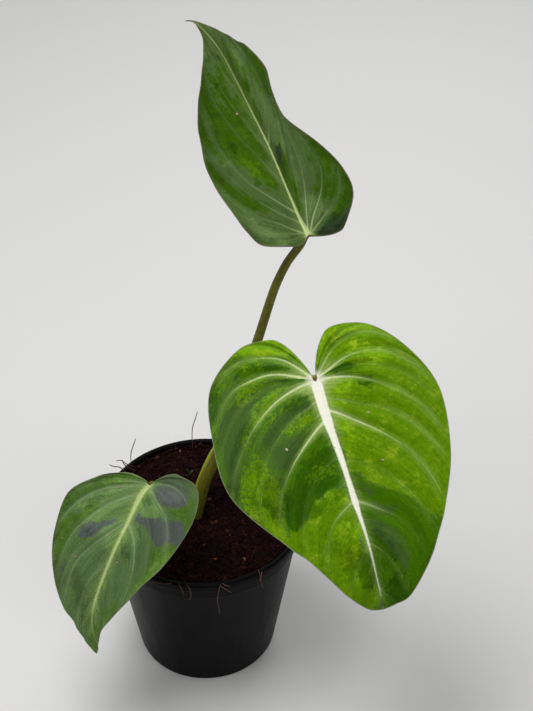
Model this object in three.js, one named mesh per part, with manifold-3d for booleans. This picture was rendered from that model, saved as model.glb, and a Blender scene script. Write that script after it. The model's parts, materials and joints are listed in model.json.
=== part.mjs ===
// A young philodendron in a 12 cm nursery pot: three heart-shaped blades on their petioles, rooted in coir.
// Millimetres, +Z up. The origin is the middle of the pot's underside, and -Y is the front.
import * as THREE from 'three';
import { mergeVertices } from 'three/addons/utils/BufferGeometryUtils.js';
import Module from 'manifold-3d';

const wasm = await Module();
wasm.setup();

// Gap kept between pieces that touch.
const GAP = 0.3;

// Pot: a tapered cup with a stacking shoulder and a folded rim, on a foot ring and a flat centre pad.
const POT_HEIGHT = 105;
const RIM_RADIUS = 60;
const FOOT_RADIUS = 42;
const POT_WALL = 1.4;
const SHOULDER_HEIGHT = 90;
const SHOULDER_RADIUS = 55.5;
const SHOULDER_RISE = 1.5;
const COLLAR_RADIUS = 58;
const COLLAR_DRAFT = 0.5;
const RIM_SKIRT_HEIGHT = 5;
const FOOT_RING_WIDTH = 6;
const PAD_RADIUS = 12;
const PAD_SLOPE = 1.5;
const FLOOR_RISE = 2;
const EDGE_ROUND = 1;
const DRAIN_HOLES = 8;
const DRAIN_RADIUS = 4;
const DRAIN_CIRCLE = 25;
const DRAIN_SIDES = 12;
const ROUND_SIDES = 48;

// Soil: fills the pot almost to the rim, and is slightly domed. Its lumps are waves, each given as
// [height, radians per mm along X, radians per mm along Y, phase].
const SOIL_EDGE_HEIGHT = 102.3;
const SOIL_DOME = 0.8;
const SOIL_RINGS = 7;
const SOIL_WAVES = [
  [0.5, 0.31, 0.27, 0.3], [0.4, 0.31, -0.27, 1.3], [0.4, 0.53, -0.41, 2], [0.3, -0.2, 0.62, 4],
];

// Rhizome: the short creeping stem that carries the petioles, just under the soil, with its roots.
const RHIZOME_ROUTE = [[-11, -17, 90], [-9, -8, 92.5], [-5, 2, 93.5], [-2, 12, 93], [1, 22, 90]];
const RHIZOME_RADIUS = 7.5;
const RHIZOME_RING_DEPTH = 0.5;
const RHIZOME_RINGS = 5;
const RHIZOME_SIDES = 10;
const RHIZOME_STEPS = 20;
const ROOT_SIDES = 6;
const ROOT_STEPS = 8;
const ROOT_COUNT = 5;
const ROOT_RADIUS = 1.7;
const ROOT_TIP_RADIUS = 0.9;
const ROOT_REACH = 33;
const ROOT_DEPTH = 62;
const ROOT_START_DROP = 2;
const RHIZOME_END_TAPER = 0.8;

// Way of each root from the rhizome as [share of its reach, share of its depth], and its stray in radians.
const ROOT_WAY = [[0, 0], [0.35, 0.12], [0.75, 0.35], [0.92, 0.68], [1, 1]];
const ROOT_STRAY = 0.4;

// Blades: leathery sheets with a stout rib under the middle, swelling a little between their side veins.
const BLADE_THICKNESS = 1;
const RIB_DEPTH = 2.2;
const RIB_SHARE = 0.11;
const SWELL = 1.1;
const WAVES_PER_VEIN = 0.65;
const VEINS_TO_FULL_WAVE = 3;
const LOBE_ROUND_VEINS = 0.4;
const LOBE_ROUND_SHARE = 0.2;
const STEPS_ACROSS = [0, 0.04, 0.11, 0.22, 0.36, 0.52, 0.68, 0.84, 1];

// Each blade is a fan of side veins, listed from the tip to the back of the lobes. A vein leaves the midrib,
// bends over its bend point and ends on the margin. Points are [across, towards the tip, rise] from the
// junction, where the petiole joins. The left side is on the left when looking from the junction to the tip.
const LARGE_BLADE = {
  junction: [62, -32, 232],
  tip: [94, -120, 158],
  facing: [-0.07, -0.66, 0.75],
  wave: 0.7,
  steps: 3,
  midrib: [
    [-1, 121, -16], [-2, 109, -7], [-3, 87, -2], [-2, 65, -1], [-1, 43, 0], [0, 20, 0], [0, 0, 0],
  ],
  leftBends: [
    [-1, 121, -16], [-4, 114, -9], [-13, 95, 3], [-29, 73, 5], [-29, 52, 6], [-32, 31, 6], [-40, 2, 7],
    [-33, -21, 3], [-20, -32, -2], [-13, -27, -2], [-4, -19, -2],
  ],
  leftMargin: [
    [-1, 121, -16], [-8, 120, -13], [-16.5, 117.5, -9], [-29.5, 104.5, 1], [-38, 92, 5], [-45.5, 79, 6],
    [-55.5, 54, 9], [-59, 22, 9], [-49.5, -2, 7], [-34.5, -20, 1], [-15, -26, -2],
  ],
  rightBends: [
    [-1, 121, -16], [1, 114, -10], [6, 97, -1], [15, 70, 1], [24, 51, 4], [30, 35, 6], [38, 2, 6],
    [34, -25, 2], [21, -32, -2], [14, -30, -3], [8, -25, -2],
  ],
  rightMargin: [
    [-1, 121, -16], [6, 119, -13], [14, 110.5, -5], [21.5, 98.5, 1], [28.5, 87.5, 3], [36.5, 78, 5],
    [57, 47.5, 9.5], [58.5, 16, 9], [53, -9, 6], [35, -25.5, 1], [18, -27.5, -2],
  ],
};

const SMALL_BLADE = {
  junction: [-27, -25, 150],
  tip: [-55.5, -89.5, 86],
  facing: [-0.34, -0.58, 0.74],
  wave: 0.7,
  steps: 3,
  midrib: [
    [3.5, 98, -8.5], [6, 91, -5], [9, 81, -1], [10, 68, 1], [8, 43, 2], [5, 22, 1.5], [3, 8, 1], [0, 0, 0],
  ],
  leftBends: [
    [3.5, 98, -8.5], [5, 94, -6.5], [6.5, 87, -3], [5, 76, -1], [0, 58, -1.5], [-8, 33, 1], [-15, 20, 4.5],
    [-22, 10, 8.5], [-18, -7.5, 5.5], [-12, -9, 3], [-9.5, -10, 2],
  ],
  leftMargin: [
    [3.5, 98, -8.5], [2.5, 95.5, -7.5], [3, 93, -6], [3.5, 88, -4.5], [1, 80.5, -3], [-4, 72.5, -1.5],
    [-14.5, 56, 4], [-26, 40.5, 9], [-37, 11.5, 12.5], [-31.5, -5.5, 9.5], [-17, -9.5, 4.5],
  ],
  rightBends: [
    [3.5, 98, -8.5], [6.5, 94, -6], [10.5, 87, -2], [14, 78, 2], [19, 64, 5.5], [25.5, 37.5, 9],
    [30, 16.5, 11], [28, 4, 10], [21.5, -3, 8], [15, -3, 5], [9.5, -4, 3],
  ],
  rightMargin: [
    [3.5, 98, -8.5], [6.5, 96.5, -7], [10, 93.5, -4.5], [13, 90.5, -2], [18, 85, 1.5], [24.5, 79, 5],
    [33.5, 66.5, 9], [41, 41, 13], [40, 18.5, 13], [28, 5, 10], [16, -1.5, 5.5],
  ],
};

const TOP_BLADE = {
  junction: [57, -3, 300],
  tip: [2.4, 95.3, 365],
  facing: [-0.29, -0.63, 0.72],
  wave: 0.25,
  steps: 2,
  midrib: [
    [-9, 146, -16.5], [-4.5, 143, -16.5], [-1.5, 135, -12.5], [1.5, 124, -7], [3.5, 110, -3], [4, 93, -1],
    [4, 75, 0], [4, 53, 1], [2, 28, 1], [0, 13, 0], [0, 0, 0],
  ],
  leftBends: [
    [-9, 146, -16.5], [-4.8, 142.9, -16.5], [-2.5, 136, -13], [-1.5, 126, -8], [-2, 116, -6],
    [-3, 105, -5], [-5, 92, -3], [-7, 75, 0], [-13, 54, 6], [-17, 37, 10], [-17, 22, 10], [-17, 13, 10],
    [-14, 6, 8], [-12, 1.5, 6], [-9, -1.5, 4.5], [-4.5, -4.5, 2.5],
  ],
  leftMargin: [
    [-9, 146, -16.5], [-4.8, 142.6, -16.5], [-3.2, 136, -12.5], [-3, 126, -7.5], [-6, 116, -3],
    [-9.5, 107, 1], [-14, 97, 5], [-18.5, 87, 9], [-22.5, 76, 12], [-25, 65, 14], [-27.5, 53, 15],
    [-27.5, 40, 15], [-25.5, 26, 15], [-23.5, 13.5, 13], [-20, 4.5, 10], [-9.5, -0.5, 5],
  ],
  rightBends: [
    [-9, 146, -16.5], [-4.2, 143.5, -17], [0, 136.5, -13.5], [3.5, 128, -8], [7, 117, -1], [9, 105, 2],
    [14, 89, 7], [15, 65, 11], [12, 48, 9], [10, 32, 7], [9, 13, 3], [25, 12, 0], [22, 7, -2],
    [17.5, 4, -1], [15, -1, -0.5], [16.5, -4.5, -0.5],
  ],
  rightMargin: [
    [-9, 146, -16.5], [-4.1, 143.6, -17], [0.3, 137.4, -14], [4.5, 130, -8], [8.5, 122, -2.5],
    [11.5, 116, 2], [14.5, 109, 6], [18.5, 101, 11], [22.5, 84, 16], [20.5, 74, 16], [19, 61, 14],
    [20.5, 53.5, 12], [28.5, 38, 5], [34, 22, 0], [31, 7.5, -1], [20, -2, -1],
  ],
};

// Petioles: from the rhizome up to their blade's junction, with the radii at the foot, middle and top.
const LARGE_PETIOLE = {
  route: [
    [-3.5, 4.5, 94], [-4.3, 4.4, 102.7], [-0.2, 8.1, 118], [7.4, 13.5, 135.6], [18.7, 16.8, 152.2],
    [34, 12, 174], [50, -6, 202], [59.5, -26, 226], [62, -32, 232],
  ],
  radii: [3.7, 3, 2.6],
};
const SMALL_PETIOLE = {
  route: [
    [-8.7, -10, 94], [-8.2, -10, 103.5], [-10.8, -10, 114.5], [-17, -12.5, 127.5], [-23, -18.5, 139],
    [-27, -25, 150],
  ],
  radii: [3, 2.5, 2.2],
};
const TOP_PETIOLE = {
  route: [
    [-4.2, -4.5, 94], [-4, -4.5, 103.5], [2.1, -1.7, 129.8], [9.1, 1.7, 146.4], [21, 6, 184],
    [32.8, 7, 228], [39.1, 6, 254], [42.9, 5, 267.5], [47.7, 4, 280], [53.5, 2, 291.5], [56, -1.2, 301],
  ],
  radii: [3.8, 3, 2.1],
};
const PETIOLE_SIDES = 10;
const PETIOLE_STEPS = 16;
const PETIOLE_OVERRUN = 5;

const toVector = ([x, y, z]) => new THREE.Vector3(x, y, z);
const curveThrough = (points) => new THREE.CatmullRomCurve3(points.map(toVector), false, 'catmullrom', 0.5);

// Collects triangles, welds vertices that share a place and drops triangles that collapse there.
class Shell {
  constructor() {
    this.places = [];
    this.faces = [];
    this.known = new Map();
  }

  vertex(point) {
    const key = point.toArray().map((value) => value.toFixed(3)).join(' ');
    if (!this.known.has(key)) {
      this.known.set(key, this.known.size);
      this.places.push(...point.toArray());
    }
    return this.known.get(key);
  }

  triangle(a, b, c) {
    if (a !== b && b !== c && c !== a) {
      this.faces.push(a, b, c);
    }
  }

  quad(a, b, c, d) {
    this.triangle(a, b, c);
    this.triangle(a, c, d);
  }

  geometry() {
    const geometry = new THREE.BufferGeometry();
    geometry.setAttribute('position', new THREE.Float32BufferAttribute(this.places, 3));
    geometry.setIndex(this.faces);
    return geometry;
  }
}

function toSolid(geometry) {
  const bare = geometry.clone();
  bare.deleteAttribute('normal');
  bare.deleteAttribute('uv');
  const merged = mergeVertices(bare);
  return new wasm.Manifold(new wasm.Mesh({
    numProp: 3,
    vertProperties: new Float32Array(merged.attributes.position.array),
    triVerts: new Uint32Array(merged.index.array),
  }));
}

function toGeometry(solid) {
  const mesh = solid.getMesh();
  const geometry = new THREE.BufferGeometry();
  geometry.setAttribute('position', new THREE.Float32BufferAttribute(mesh.vertProperties, 3));
  geometry.setIndex(Array.from(mesh.triVerts));
  return geometry;
}

// A closed skin through a row of rings of equal count, with each end drawn together in its middle point.
function ringSkin(rings, firstMiddle, lastMiddle) {
  const shell = new Shell();
  const rows = rings.map((ring) => ring.map((point) => shell.vertex(point)));
  const first = shell.vertex(firstMiddle);
  const last = shell.vertex(lastMiddle);
  const count = rows[0].length;
  for (let i = 0; i < count; i++) {
    const next = (i + 1) % count;
    shell.triangle(first, rows[0][next], rows[0][i]);
    shell.triangle(last, rows.at(-1)[i], rows.at(-1)[next]);
    for (let k = 0; k + 1 < rows.length; k++) {
      shell.quad(rows[k][i], rows[k][next], rows[k + 1][next], rows[k + 1][i]);
    }
  }
  return shell.geometry();
}

// A round stem along a route, whose radius follows radiusAt from 0 at its foot to 1 at its end.
function stem(curve, radiusAt, sides, steps) {
  const frames = curve.computeFrenetFrames(steps, false);
  const rings = frames.tangents.map((tangent, k) => {
    const middle = curve.getPointAt(k / steps);
    return Array.from({ length: sides }, (_, i) => {
      const turn = (2 * Math.PI * i) / sides;
      const radius = radiusAt(k / steps);
      return middle.clone()
        .addScaledVector(frames.normals[k], radius * Math.cos(turn))
        .addScaledVector(frames.binormals[k], radius * Math.sin(turn));
    });
  });
  return ringSkin(rings, curve.getPointAt(0), curve.getPointAt(1));
}

function potSolid() {
  const skirtBottom = POT_HEIGHT - RIM_SKIRT_HEIGHT;
  const outline = [
    [0, 0], [PAD_RADIUS, 0], [PAD_RADIUS + PAD_SLOPE, FLOOR_RISE],
    [FOOT_RADIUS - FOOT_RING_WIDTH - EDGE_ROUND, FLOOR_RISE], [FOOT_RADIUS - FOOT_RING_WIDTH, 0],
    [FOOT_RADIUS - EDGE_ROUND, 0], [FOOT_RADIUS, EDGE_ROUND],
    [SHOULDER_RADIUS, SHOULDER_HEIGHT], [COLLAR_RADIUS - COLLAR_DRAFT, SHOULDER_HEIGHT + SHOULDER_RISE],
    [COLLAR_RADIUS, skirtBottom + EDGE_ROUND], [RIM_RADIUS - EDGE_ROUND, skirtBottom + EDGE_ROUND],
    [RIM_RADIUS - EDGE_ROUND, skirtBottom], [RIM_RADIUS, skirtBottom],
    [RIM_RADIUS, POT_HEIGHT - EDGE_ROUND], [RIM_RADIUS - EDGE_ROUND, POT_HEIGHT],
    [COLLAR_RADIUS - EDGE_ROUND, POT_HEIGHT], [COLLAR_RADIUS - POT_WALL, POT_HEIGHT - EDGE_ROUND],
    ...innerWall(0).toReversed(), [0, FLOOR_RISE + POT_WALL],
  ];
  const cup = new THREE.LatheGeometry(outline.map(([r, z]) => new THREE.Vector2(r, z)), ROUND_SIDES);
  cup.rotateX(Math.PI / 2);
  let pot = toSolid(cup);
  for (let i = 0; i < DRAIN_HOLES; i++) {
    const turn = (2 * Math.PI * (i + 0.5)) / DRAIN_HOLES;
    const drill = new THREE.CylinderGeometry(DRAIN_RADIUS, DRAIN_RADIUS, 4 * FLOOR_RISE, DRAIN_SIDES);
    drill.rotateX(Math.PI / 2);
    drill.translate(DRAIN_CIRCLE * Math.cos(turn), DRAIN_CIRCLE * Math.sin(turn), FLOOR_RISE);
    pot = pot.subtract(toSolid(drill));
  }
  return pot;
}

// The inside of the pot's wall as [radius, height] from the floor up, moved inwards by a clearance.
function innerWall(clearance) {
  const inset = POT_WALL + clearance;
  return [
    [FOOT_RADIUS - inset, FLOOR_RISE + inset],
    [SHOULDER_RADIUS - inset, SHOULDER_HEIGHT + clearance],
    [COLLAR_RADIUS - COLLAR_DRAFT - inset, SHOULDER_HEIGHT + SHOULDER_RISE + clearance],
  ];
}

// Height of the soil's surface: a low dome with shallow lumps of several lengths.
function soilHeight(x, y, edge) {
  const dome = SOIL_DOME * (1 - (x * x + y * y) / (edge * edge));
  const lumps = SOIL_WAVES.map(([height, alongX, alongY, phase]) => (
    height * Math.sin(alongX * x + alongY * y + phase)
  ));
  return SOIL_EDGE_HEIGHT + dome + lumps.reduce((total, lump) => total + lump);
}

function soilSolid() {
  const wall = innerWall(GAP);
  const edge = wall.at(-1)[0];
  const circle = (radius, heightAt) => Array.from({ length: ROUND_SIDES }, (_, i) => {
    const turn = (2 * Math.PI * i) / ROUND_SIDES;
    const x = radius * Math.sin(turn);
    const y = -radius * Math.cos(turn);
    return new THREE.Vector3(x, y, heightAt(x, y));
  });
  const sides = wall.map(([radius, height]) => circle(radius, () => height));
  const surface = Array.from({ length: SOIL_RINGS }, (_, k) => (
    circle(edge * (1 - k / SOIL_RINGS), (x, y) => soilHeight(x, y, edge))
  ));
  const bottom = new THREE.Vector3(0, 0, wall[0][1]);
  const top = new THREE.Vector3(0, 0, soilHeight(0, 0, edge));
  return toSolid(ringSkin([...sides, ...surface], bottom, top));
}

// The rhizome and its roots, all thicker by grow, so that the same shape also makes the hollow in the soil.
function rhizomeSolid(grow) {
  const route = curveThrough(RHIZOME_ROUTE);
  const girth = (share) => {
    const rounded = Math.sqrt(1 - RHIZOME_END_TAPER * (2 * share - 1) ** 6);
    const rings = RHIZOME_RING_DEPTH * Math.cos(2 * Math.PI * RHIZOME_RINGS * share);
    return RHIZOME_RADIUS * rounded - RHIZOME_RING_DEPTH + rings + grow;
  };
  let rhizome = toSolid(stem(route, girth, RHIZOME_SIDES, RHIZOME_STEPS));
  for (let i = 0; i < ROOT_COUNT; i++) {
    const start = route.getPointAt((i + 1) / (ROOT_COUNT + 1));
    const turn = (2 * Math.PI * i) / ROOT_COUNT + ROOT_STRAY * Math.sin(2.3 * i);
    const out = new THREE.Vector3(Math.cos(turn), Math.sin(turn), 0);
    const rootRoute = new THREE.CatmullRomCurve3(ROOT_WAY.map(([reach, drop]) => start.clone()
      .multiply(new THREE.Vector3(1 - reach, 1 - reach, 1))
      .addScaledVector(out, ROOT_REACH * reach)
      .add(new THREE.Vector3(0, 0, -ROOT_DEPTH * drop - ROOT_START_DROP))));
    const taper = (share) => THREE.MathUtils.lerp(ROOT_RADIUS, ROOT_TIP_RADIUS, share) + grow;
    rhizome = rhizome.add(toSolid(stem(rootRoute, taper, ROOT_SIDES, ROOT_STEPS)));
  }
  return rhizome;
}

// A petiole thicker by grow, running PETIOLE_OVERRUN past its route so that the blade's cut is clean.
function petioleSolid({ route, radii }, grow) {
  const end = toVector(route.at(-1));
  const before = toVector(route.at(-2));
  const beyond = end.clone().add(end.clone().sub(before).setLength(PETIOLE_OVERRUN));
  const curve = curveThrough([...route.slice(0, -1), beyond.toArray()]);
  const [foot, middle, top] = radii;
  const girth = (share) => {
    const early = THREE.MathUtils.lerp(foot, middle, Math.min(2 * share, 1));
    return THREE.MathUtils.lerp(early, top, Math.max(2 * share - 1, 0)) + grow;
  };
  return toSolid(stem(curve, girth, PETIOLE_SIDES, PETIOLE_STEPS));
}

// A blade's own directions: across it, towards its tip, and out of its upper face, placed at its junction.
function bladeMatrix({ junction, tip, facing }) {
  const along = toVector(tip).sub(toVector(junction)).normalize();
  const out = toVector(facing).projectOnPlane(along).normalize();
  const across = along.clone().cross(out);
  return new THREE.Matrix4().makeBasis(across, along, out).setPosition(toVector(junction));
}

// The blade as one closed sheet. Its middle surface is the family of side veins, each a quadratic curve from
// the midrib over its bend to the margin, with numbers between two veins giving the skin between them.
function bladeSolid(blade) {
  const midrib = curveThrough(blade.midrib);
  const junctionVein = blade.midrib.length - 1;
  const lastVein = blade.leftMargin.length - 1;
  const left = [curveThrough(blade.leftBends), curveThrough(blade.leftMargin)];
  const right = [curveThrough(blade.rightBends), curveThrough(blade.rightMargin)];
  const columns = [...STEPS_ACROSS.slice(1).map((share) => -share).reverse(), ...STEPS_ACROSS];
  const rowCount = lastVein * blade.steps;
  const place = bladeMatrix(blade);

  // The veins just before the last stop short of the margin's curve, so that the end of each lobe is round.
  const reach = (vein) => {
    const past = Math.max(0, 1 - (lastVein - vein) / LOBE_ROUND_VEINS);
    return 1 - LOBE_ROUND_SHARE * (1 - Math.sqrt(1 - past * past));
  };
  const middlePoint = (vein, across) => {
    const [bends, margin] = across < 0 ? left : right;
    const root = midrib.getPoint(Math.min(vein / junctionVein, 1));
    const share = Math.abs(across) * reach(vein);
    const point = new THREE.QuadraticBezierCurve3(
      root, bends.getPoint(vein / lastVein), margin.getPoint(vein / lastVein),
    ).getPoint(share);
    const swell = SWELL * Math.sin(Math.PI * vein) ** 2 * 4 * share * (1 - share);
    const wave = blade.wave * share ** 3 * Math.sin(2 * Math.PI * WAVES_PER_VEIN * vein);
    point.z += swell + wave * Math.min(vein / VEINS_TO_FULL_WAVE, 1);
    return point;
  };
  const ribDepth = (vein, across) => (
    RIB_DEPTH * Math.min(vein / junctionVein, 1) * Math.max(0, 1 - Math.abs(across) / RIB_SHARE)
  );

  const shell = new Shell();
  const upper = [];
  const lower = [];
  for (let i = 0; i <= rowCount; i++) {
    const vein = i / blade.steps;
    const middles = columns.map((across) => middlePoint(vein, across));
    const lift = (point, height) => (
      shell.vertex(point.clone().add(new THREE.Vector3(0, 0, height)).applyMatrix4(place))
    );
    upper.push(middles.map((point) => lift(point, BLADE_THICKNESS / 2)));
    lower.push(middles.map((point, k) => lift(point, -BLADE_THICKNESS / 2 - ribDepth(vein, columns[k]))));
  }
  const last = columns.length - 1;
  for (let i = 0; i < rowCount; i++) {
    for (let k = 0; k < last; k++) {
      shell.quad(upper[i][k], upper[i + 1][k], upper[i + 1][k + 1], upper[i][k + 1]);
      shell.triangle(lower[i][k], lower[i + 1][k + 1], lower[i + 1][k]);
      shell.triangle(lower[i][k], lower[i][k + 1], lower[i + 1][k + 1]);
    }
    shell.quad(upper[i][0], lower[i][0], lower[i + 1][0], upper[i + 1][0]);
    shell.quad(upper[i + 1][last], lower[i + 1][last], lower[i][last], upper[i][last]);
  }
  for (let k = 0; k < last; k++) {
    shell.quad(upper[rowCount][k], lower[rowCount][k], lower[rowCount][k + 1], upper[rowCount][k + 1]);
  }
  return toSolid(shell.geometry());
}

// The space over a blade's junction, down to the underside of its rib, where its petiole has to end.
function spaceOverJunction(blade) {
  const size = 20 * PETIOLE_OVERRUN;
  const depth = BLADE_THICKNESS / 2 + RIB_DEPTH + GAP;
  const block = new THREE.BoxGeometry(size, size, size);
  block.translate(0, 0, size / 2 - depth);
  block.applyMatrix4(bladeMatrix(blade));
  return toSolid(block);
}

const petioles = [
  ['petiole_large', LARGE_PETIOLE, LARGE_BLADE, 0x6a7a2c],
  ['petiole_small', SMALL_PETIOLE, SMALL_BLADE, 0x6a7a2c],
  ['petiole_top', TOP_PETIOLE, TOP_BLADE, 0x5c6a28],
];

let rhizome = rhizomeSolid(0);
let soil = soilSolid().subtract(rhizomeSolid(GAP));
for (const [, petiole] of petioles) {
  const socket = petioleSolid(petiole, GAP);
  rhizome = rhizome.subtract(socket);
  soil = soil.subtract(socket);
}

function addPiece(group, name, solid, colour, roughness) {
  const material = new THREE.MeshStandardMaterial({ color: colour, roughness, metalness: 0 });
  const mesh = new THREE.Mesh(toGeometry(solid), material);
  mesh.name = name;
  group.add(mesh);
}

const plant = new THREE.Group();
addPiece(plant, 'pot', potSolid(), 0x0d0d0f, 0.45);
addPiece(plant, 'soil', soil, 0x2b1710, 0.95);
addPiece(plant, 'rhizome', rhizome, 0x6b5a34, 0.7);
for (const [name, petiole, blade, colour] of petioles) {
  const solid = petioleSolid(petiole, 0).subtract(spaceOverJunction(blade));
  addPiece(plant, name, solid, colour, 0.5);
}
addPiece(plant, 'blade_large', bladeSolid(LARGE_BLADE), 0x5f8f1e, 0.5);
addPiece(plant, 'blade_small', bladeSolid(SMALL_BLADE), 0x4f7f2c, 0.5);
addPiece(plant, 'blade_top', bladeSolid(TOP_BLADE), 0x33591c, 0.5);

export default plant;
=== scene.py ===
import json

import bpy
import numpy as np
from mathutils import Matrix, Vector

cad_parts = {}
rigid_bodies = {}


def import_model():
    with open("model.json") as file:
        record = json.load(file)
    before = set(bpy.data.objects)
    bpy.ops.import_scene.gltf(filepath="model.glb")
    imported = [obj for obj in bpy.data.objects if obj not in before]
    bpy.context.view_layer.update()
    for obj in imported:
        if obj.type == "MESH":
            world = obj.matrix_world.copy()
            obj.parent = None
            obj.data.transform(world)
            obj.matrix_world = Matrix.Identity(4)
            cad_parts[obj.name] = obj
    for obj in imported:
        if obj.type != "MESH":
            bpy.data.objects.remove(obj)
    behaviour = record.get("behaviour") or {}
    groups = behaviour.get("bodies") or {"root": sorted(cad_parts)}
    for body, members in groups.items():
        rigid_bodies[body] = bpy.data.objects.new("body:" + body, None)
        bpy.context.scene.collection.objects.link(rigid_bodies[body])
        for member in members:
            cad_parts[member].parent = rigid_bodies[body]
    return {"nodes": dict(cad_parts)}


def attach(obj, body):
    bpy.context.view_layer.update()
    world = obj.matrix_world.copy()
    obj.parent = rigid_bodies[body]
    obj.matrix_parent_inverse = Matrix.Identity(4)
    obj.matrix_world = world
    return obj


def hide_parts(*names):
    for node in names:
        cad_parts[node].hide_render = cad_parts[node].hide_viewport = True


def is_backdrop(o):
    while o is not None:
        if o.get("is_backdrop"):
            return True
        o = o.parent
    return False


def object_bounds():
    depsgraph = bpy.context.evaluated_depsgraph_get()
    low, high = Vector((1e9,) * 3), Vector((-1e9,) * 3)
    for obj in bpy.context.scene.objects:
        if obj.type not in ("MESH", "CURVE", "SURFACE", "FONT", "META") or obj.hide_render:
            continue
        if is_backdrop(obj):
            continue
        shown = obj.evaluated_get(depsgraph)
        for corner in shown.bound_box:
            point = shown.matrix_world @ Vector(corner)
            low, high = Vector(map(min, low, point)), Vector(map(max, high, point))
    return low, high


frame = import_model()
cad_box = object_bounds()

# Lengths in this script are millimetres, and each mesh is written in metres. Points closer than the weld are
# one. Noise repeats after its cells.
MM = 0.001
WELD = 1e-4
NOISE_CELLS = 64
rng = np.random.default_rng(12)

# Camera: the photograph's view, worked out from the ellipse of the pot's rim.
CAMERA_PLACE = (37, -605, 729)
CAMERA_PITCH = 50
CAMERA_LENS = 75

# Pot and soil, as in the solids.
POT_SIDES = 160
DRAIN_HOLES = 8
DRAIN_RADIUS = 4
DRAIN_CIRCLE = 25
POT_FLOOR = (2, 3.4)
SOIL_EDGE = 55.8
SOIL_EDGE_HEIGHT = 102.3
SOIL_DOME = 0.8
SOIL_WAVES = [(0.5, 0.31, 0.27, 0.3), (0.4, 0.31, -0.27, 1.3), (0.4, 0.53, -0.41, 2), (0.3, -0.2, 0.62, 4)]

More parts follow.
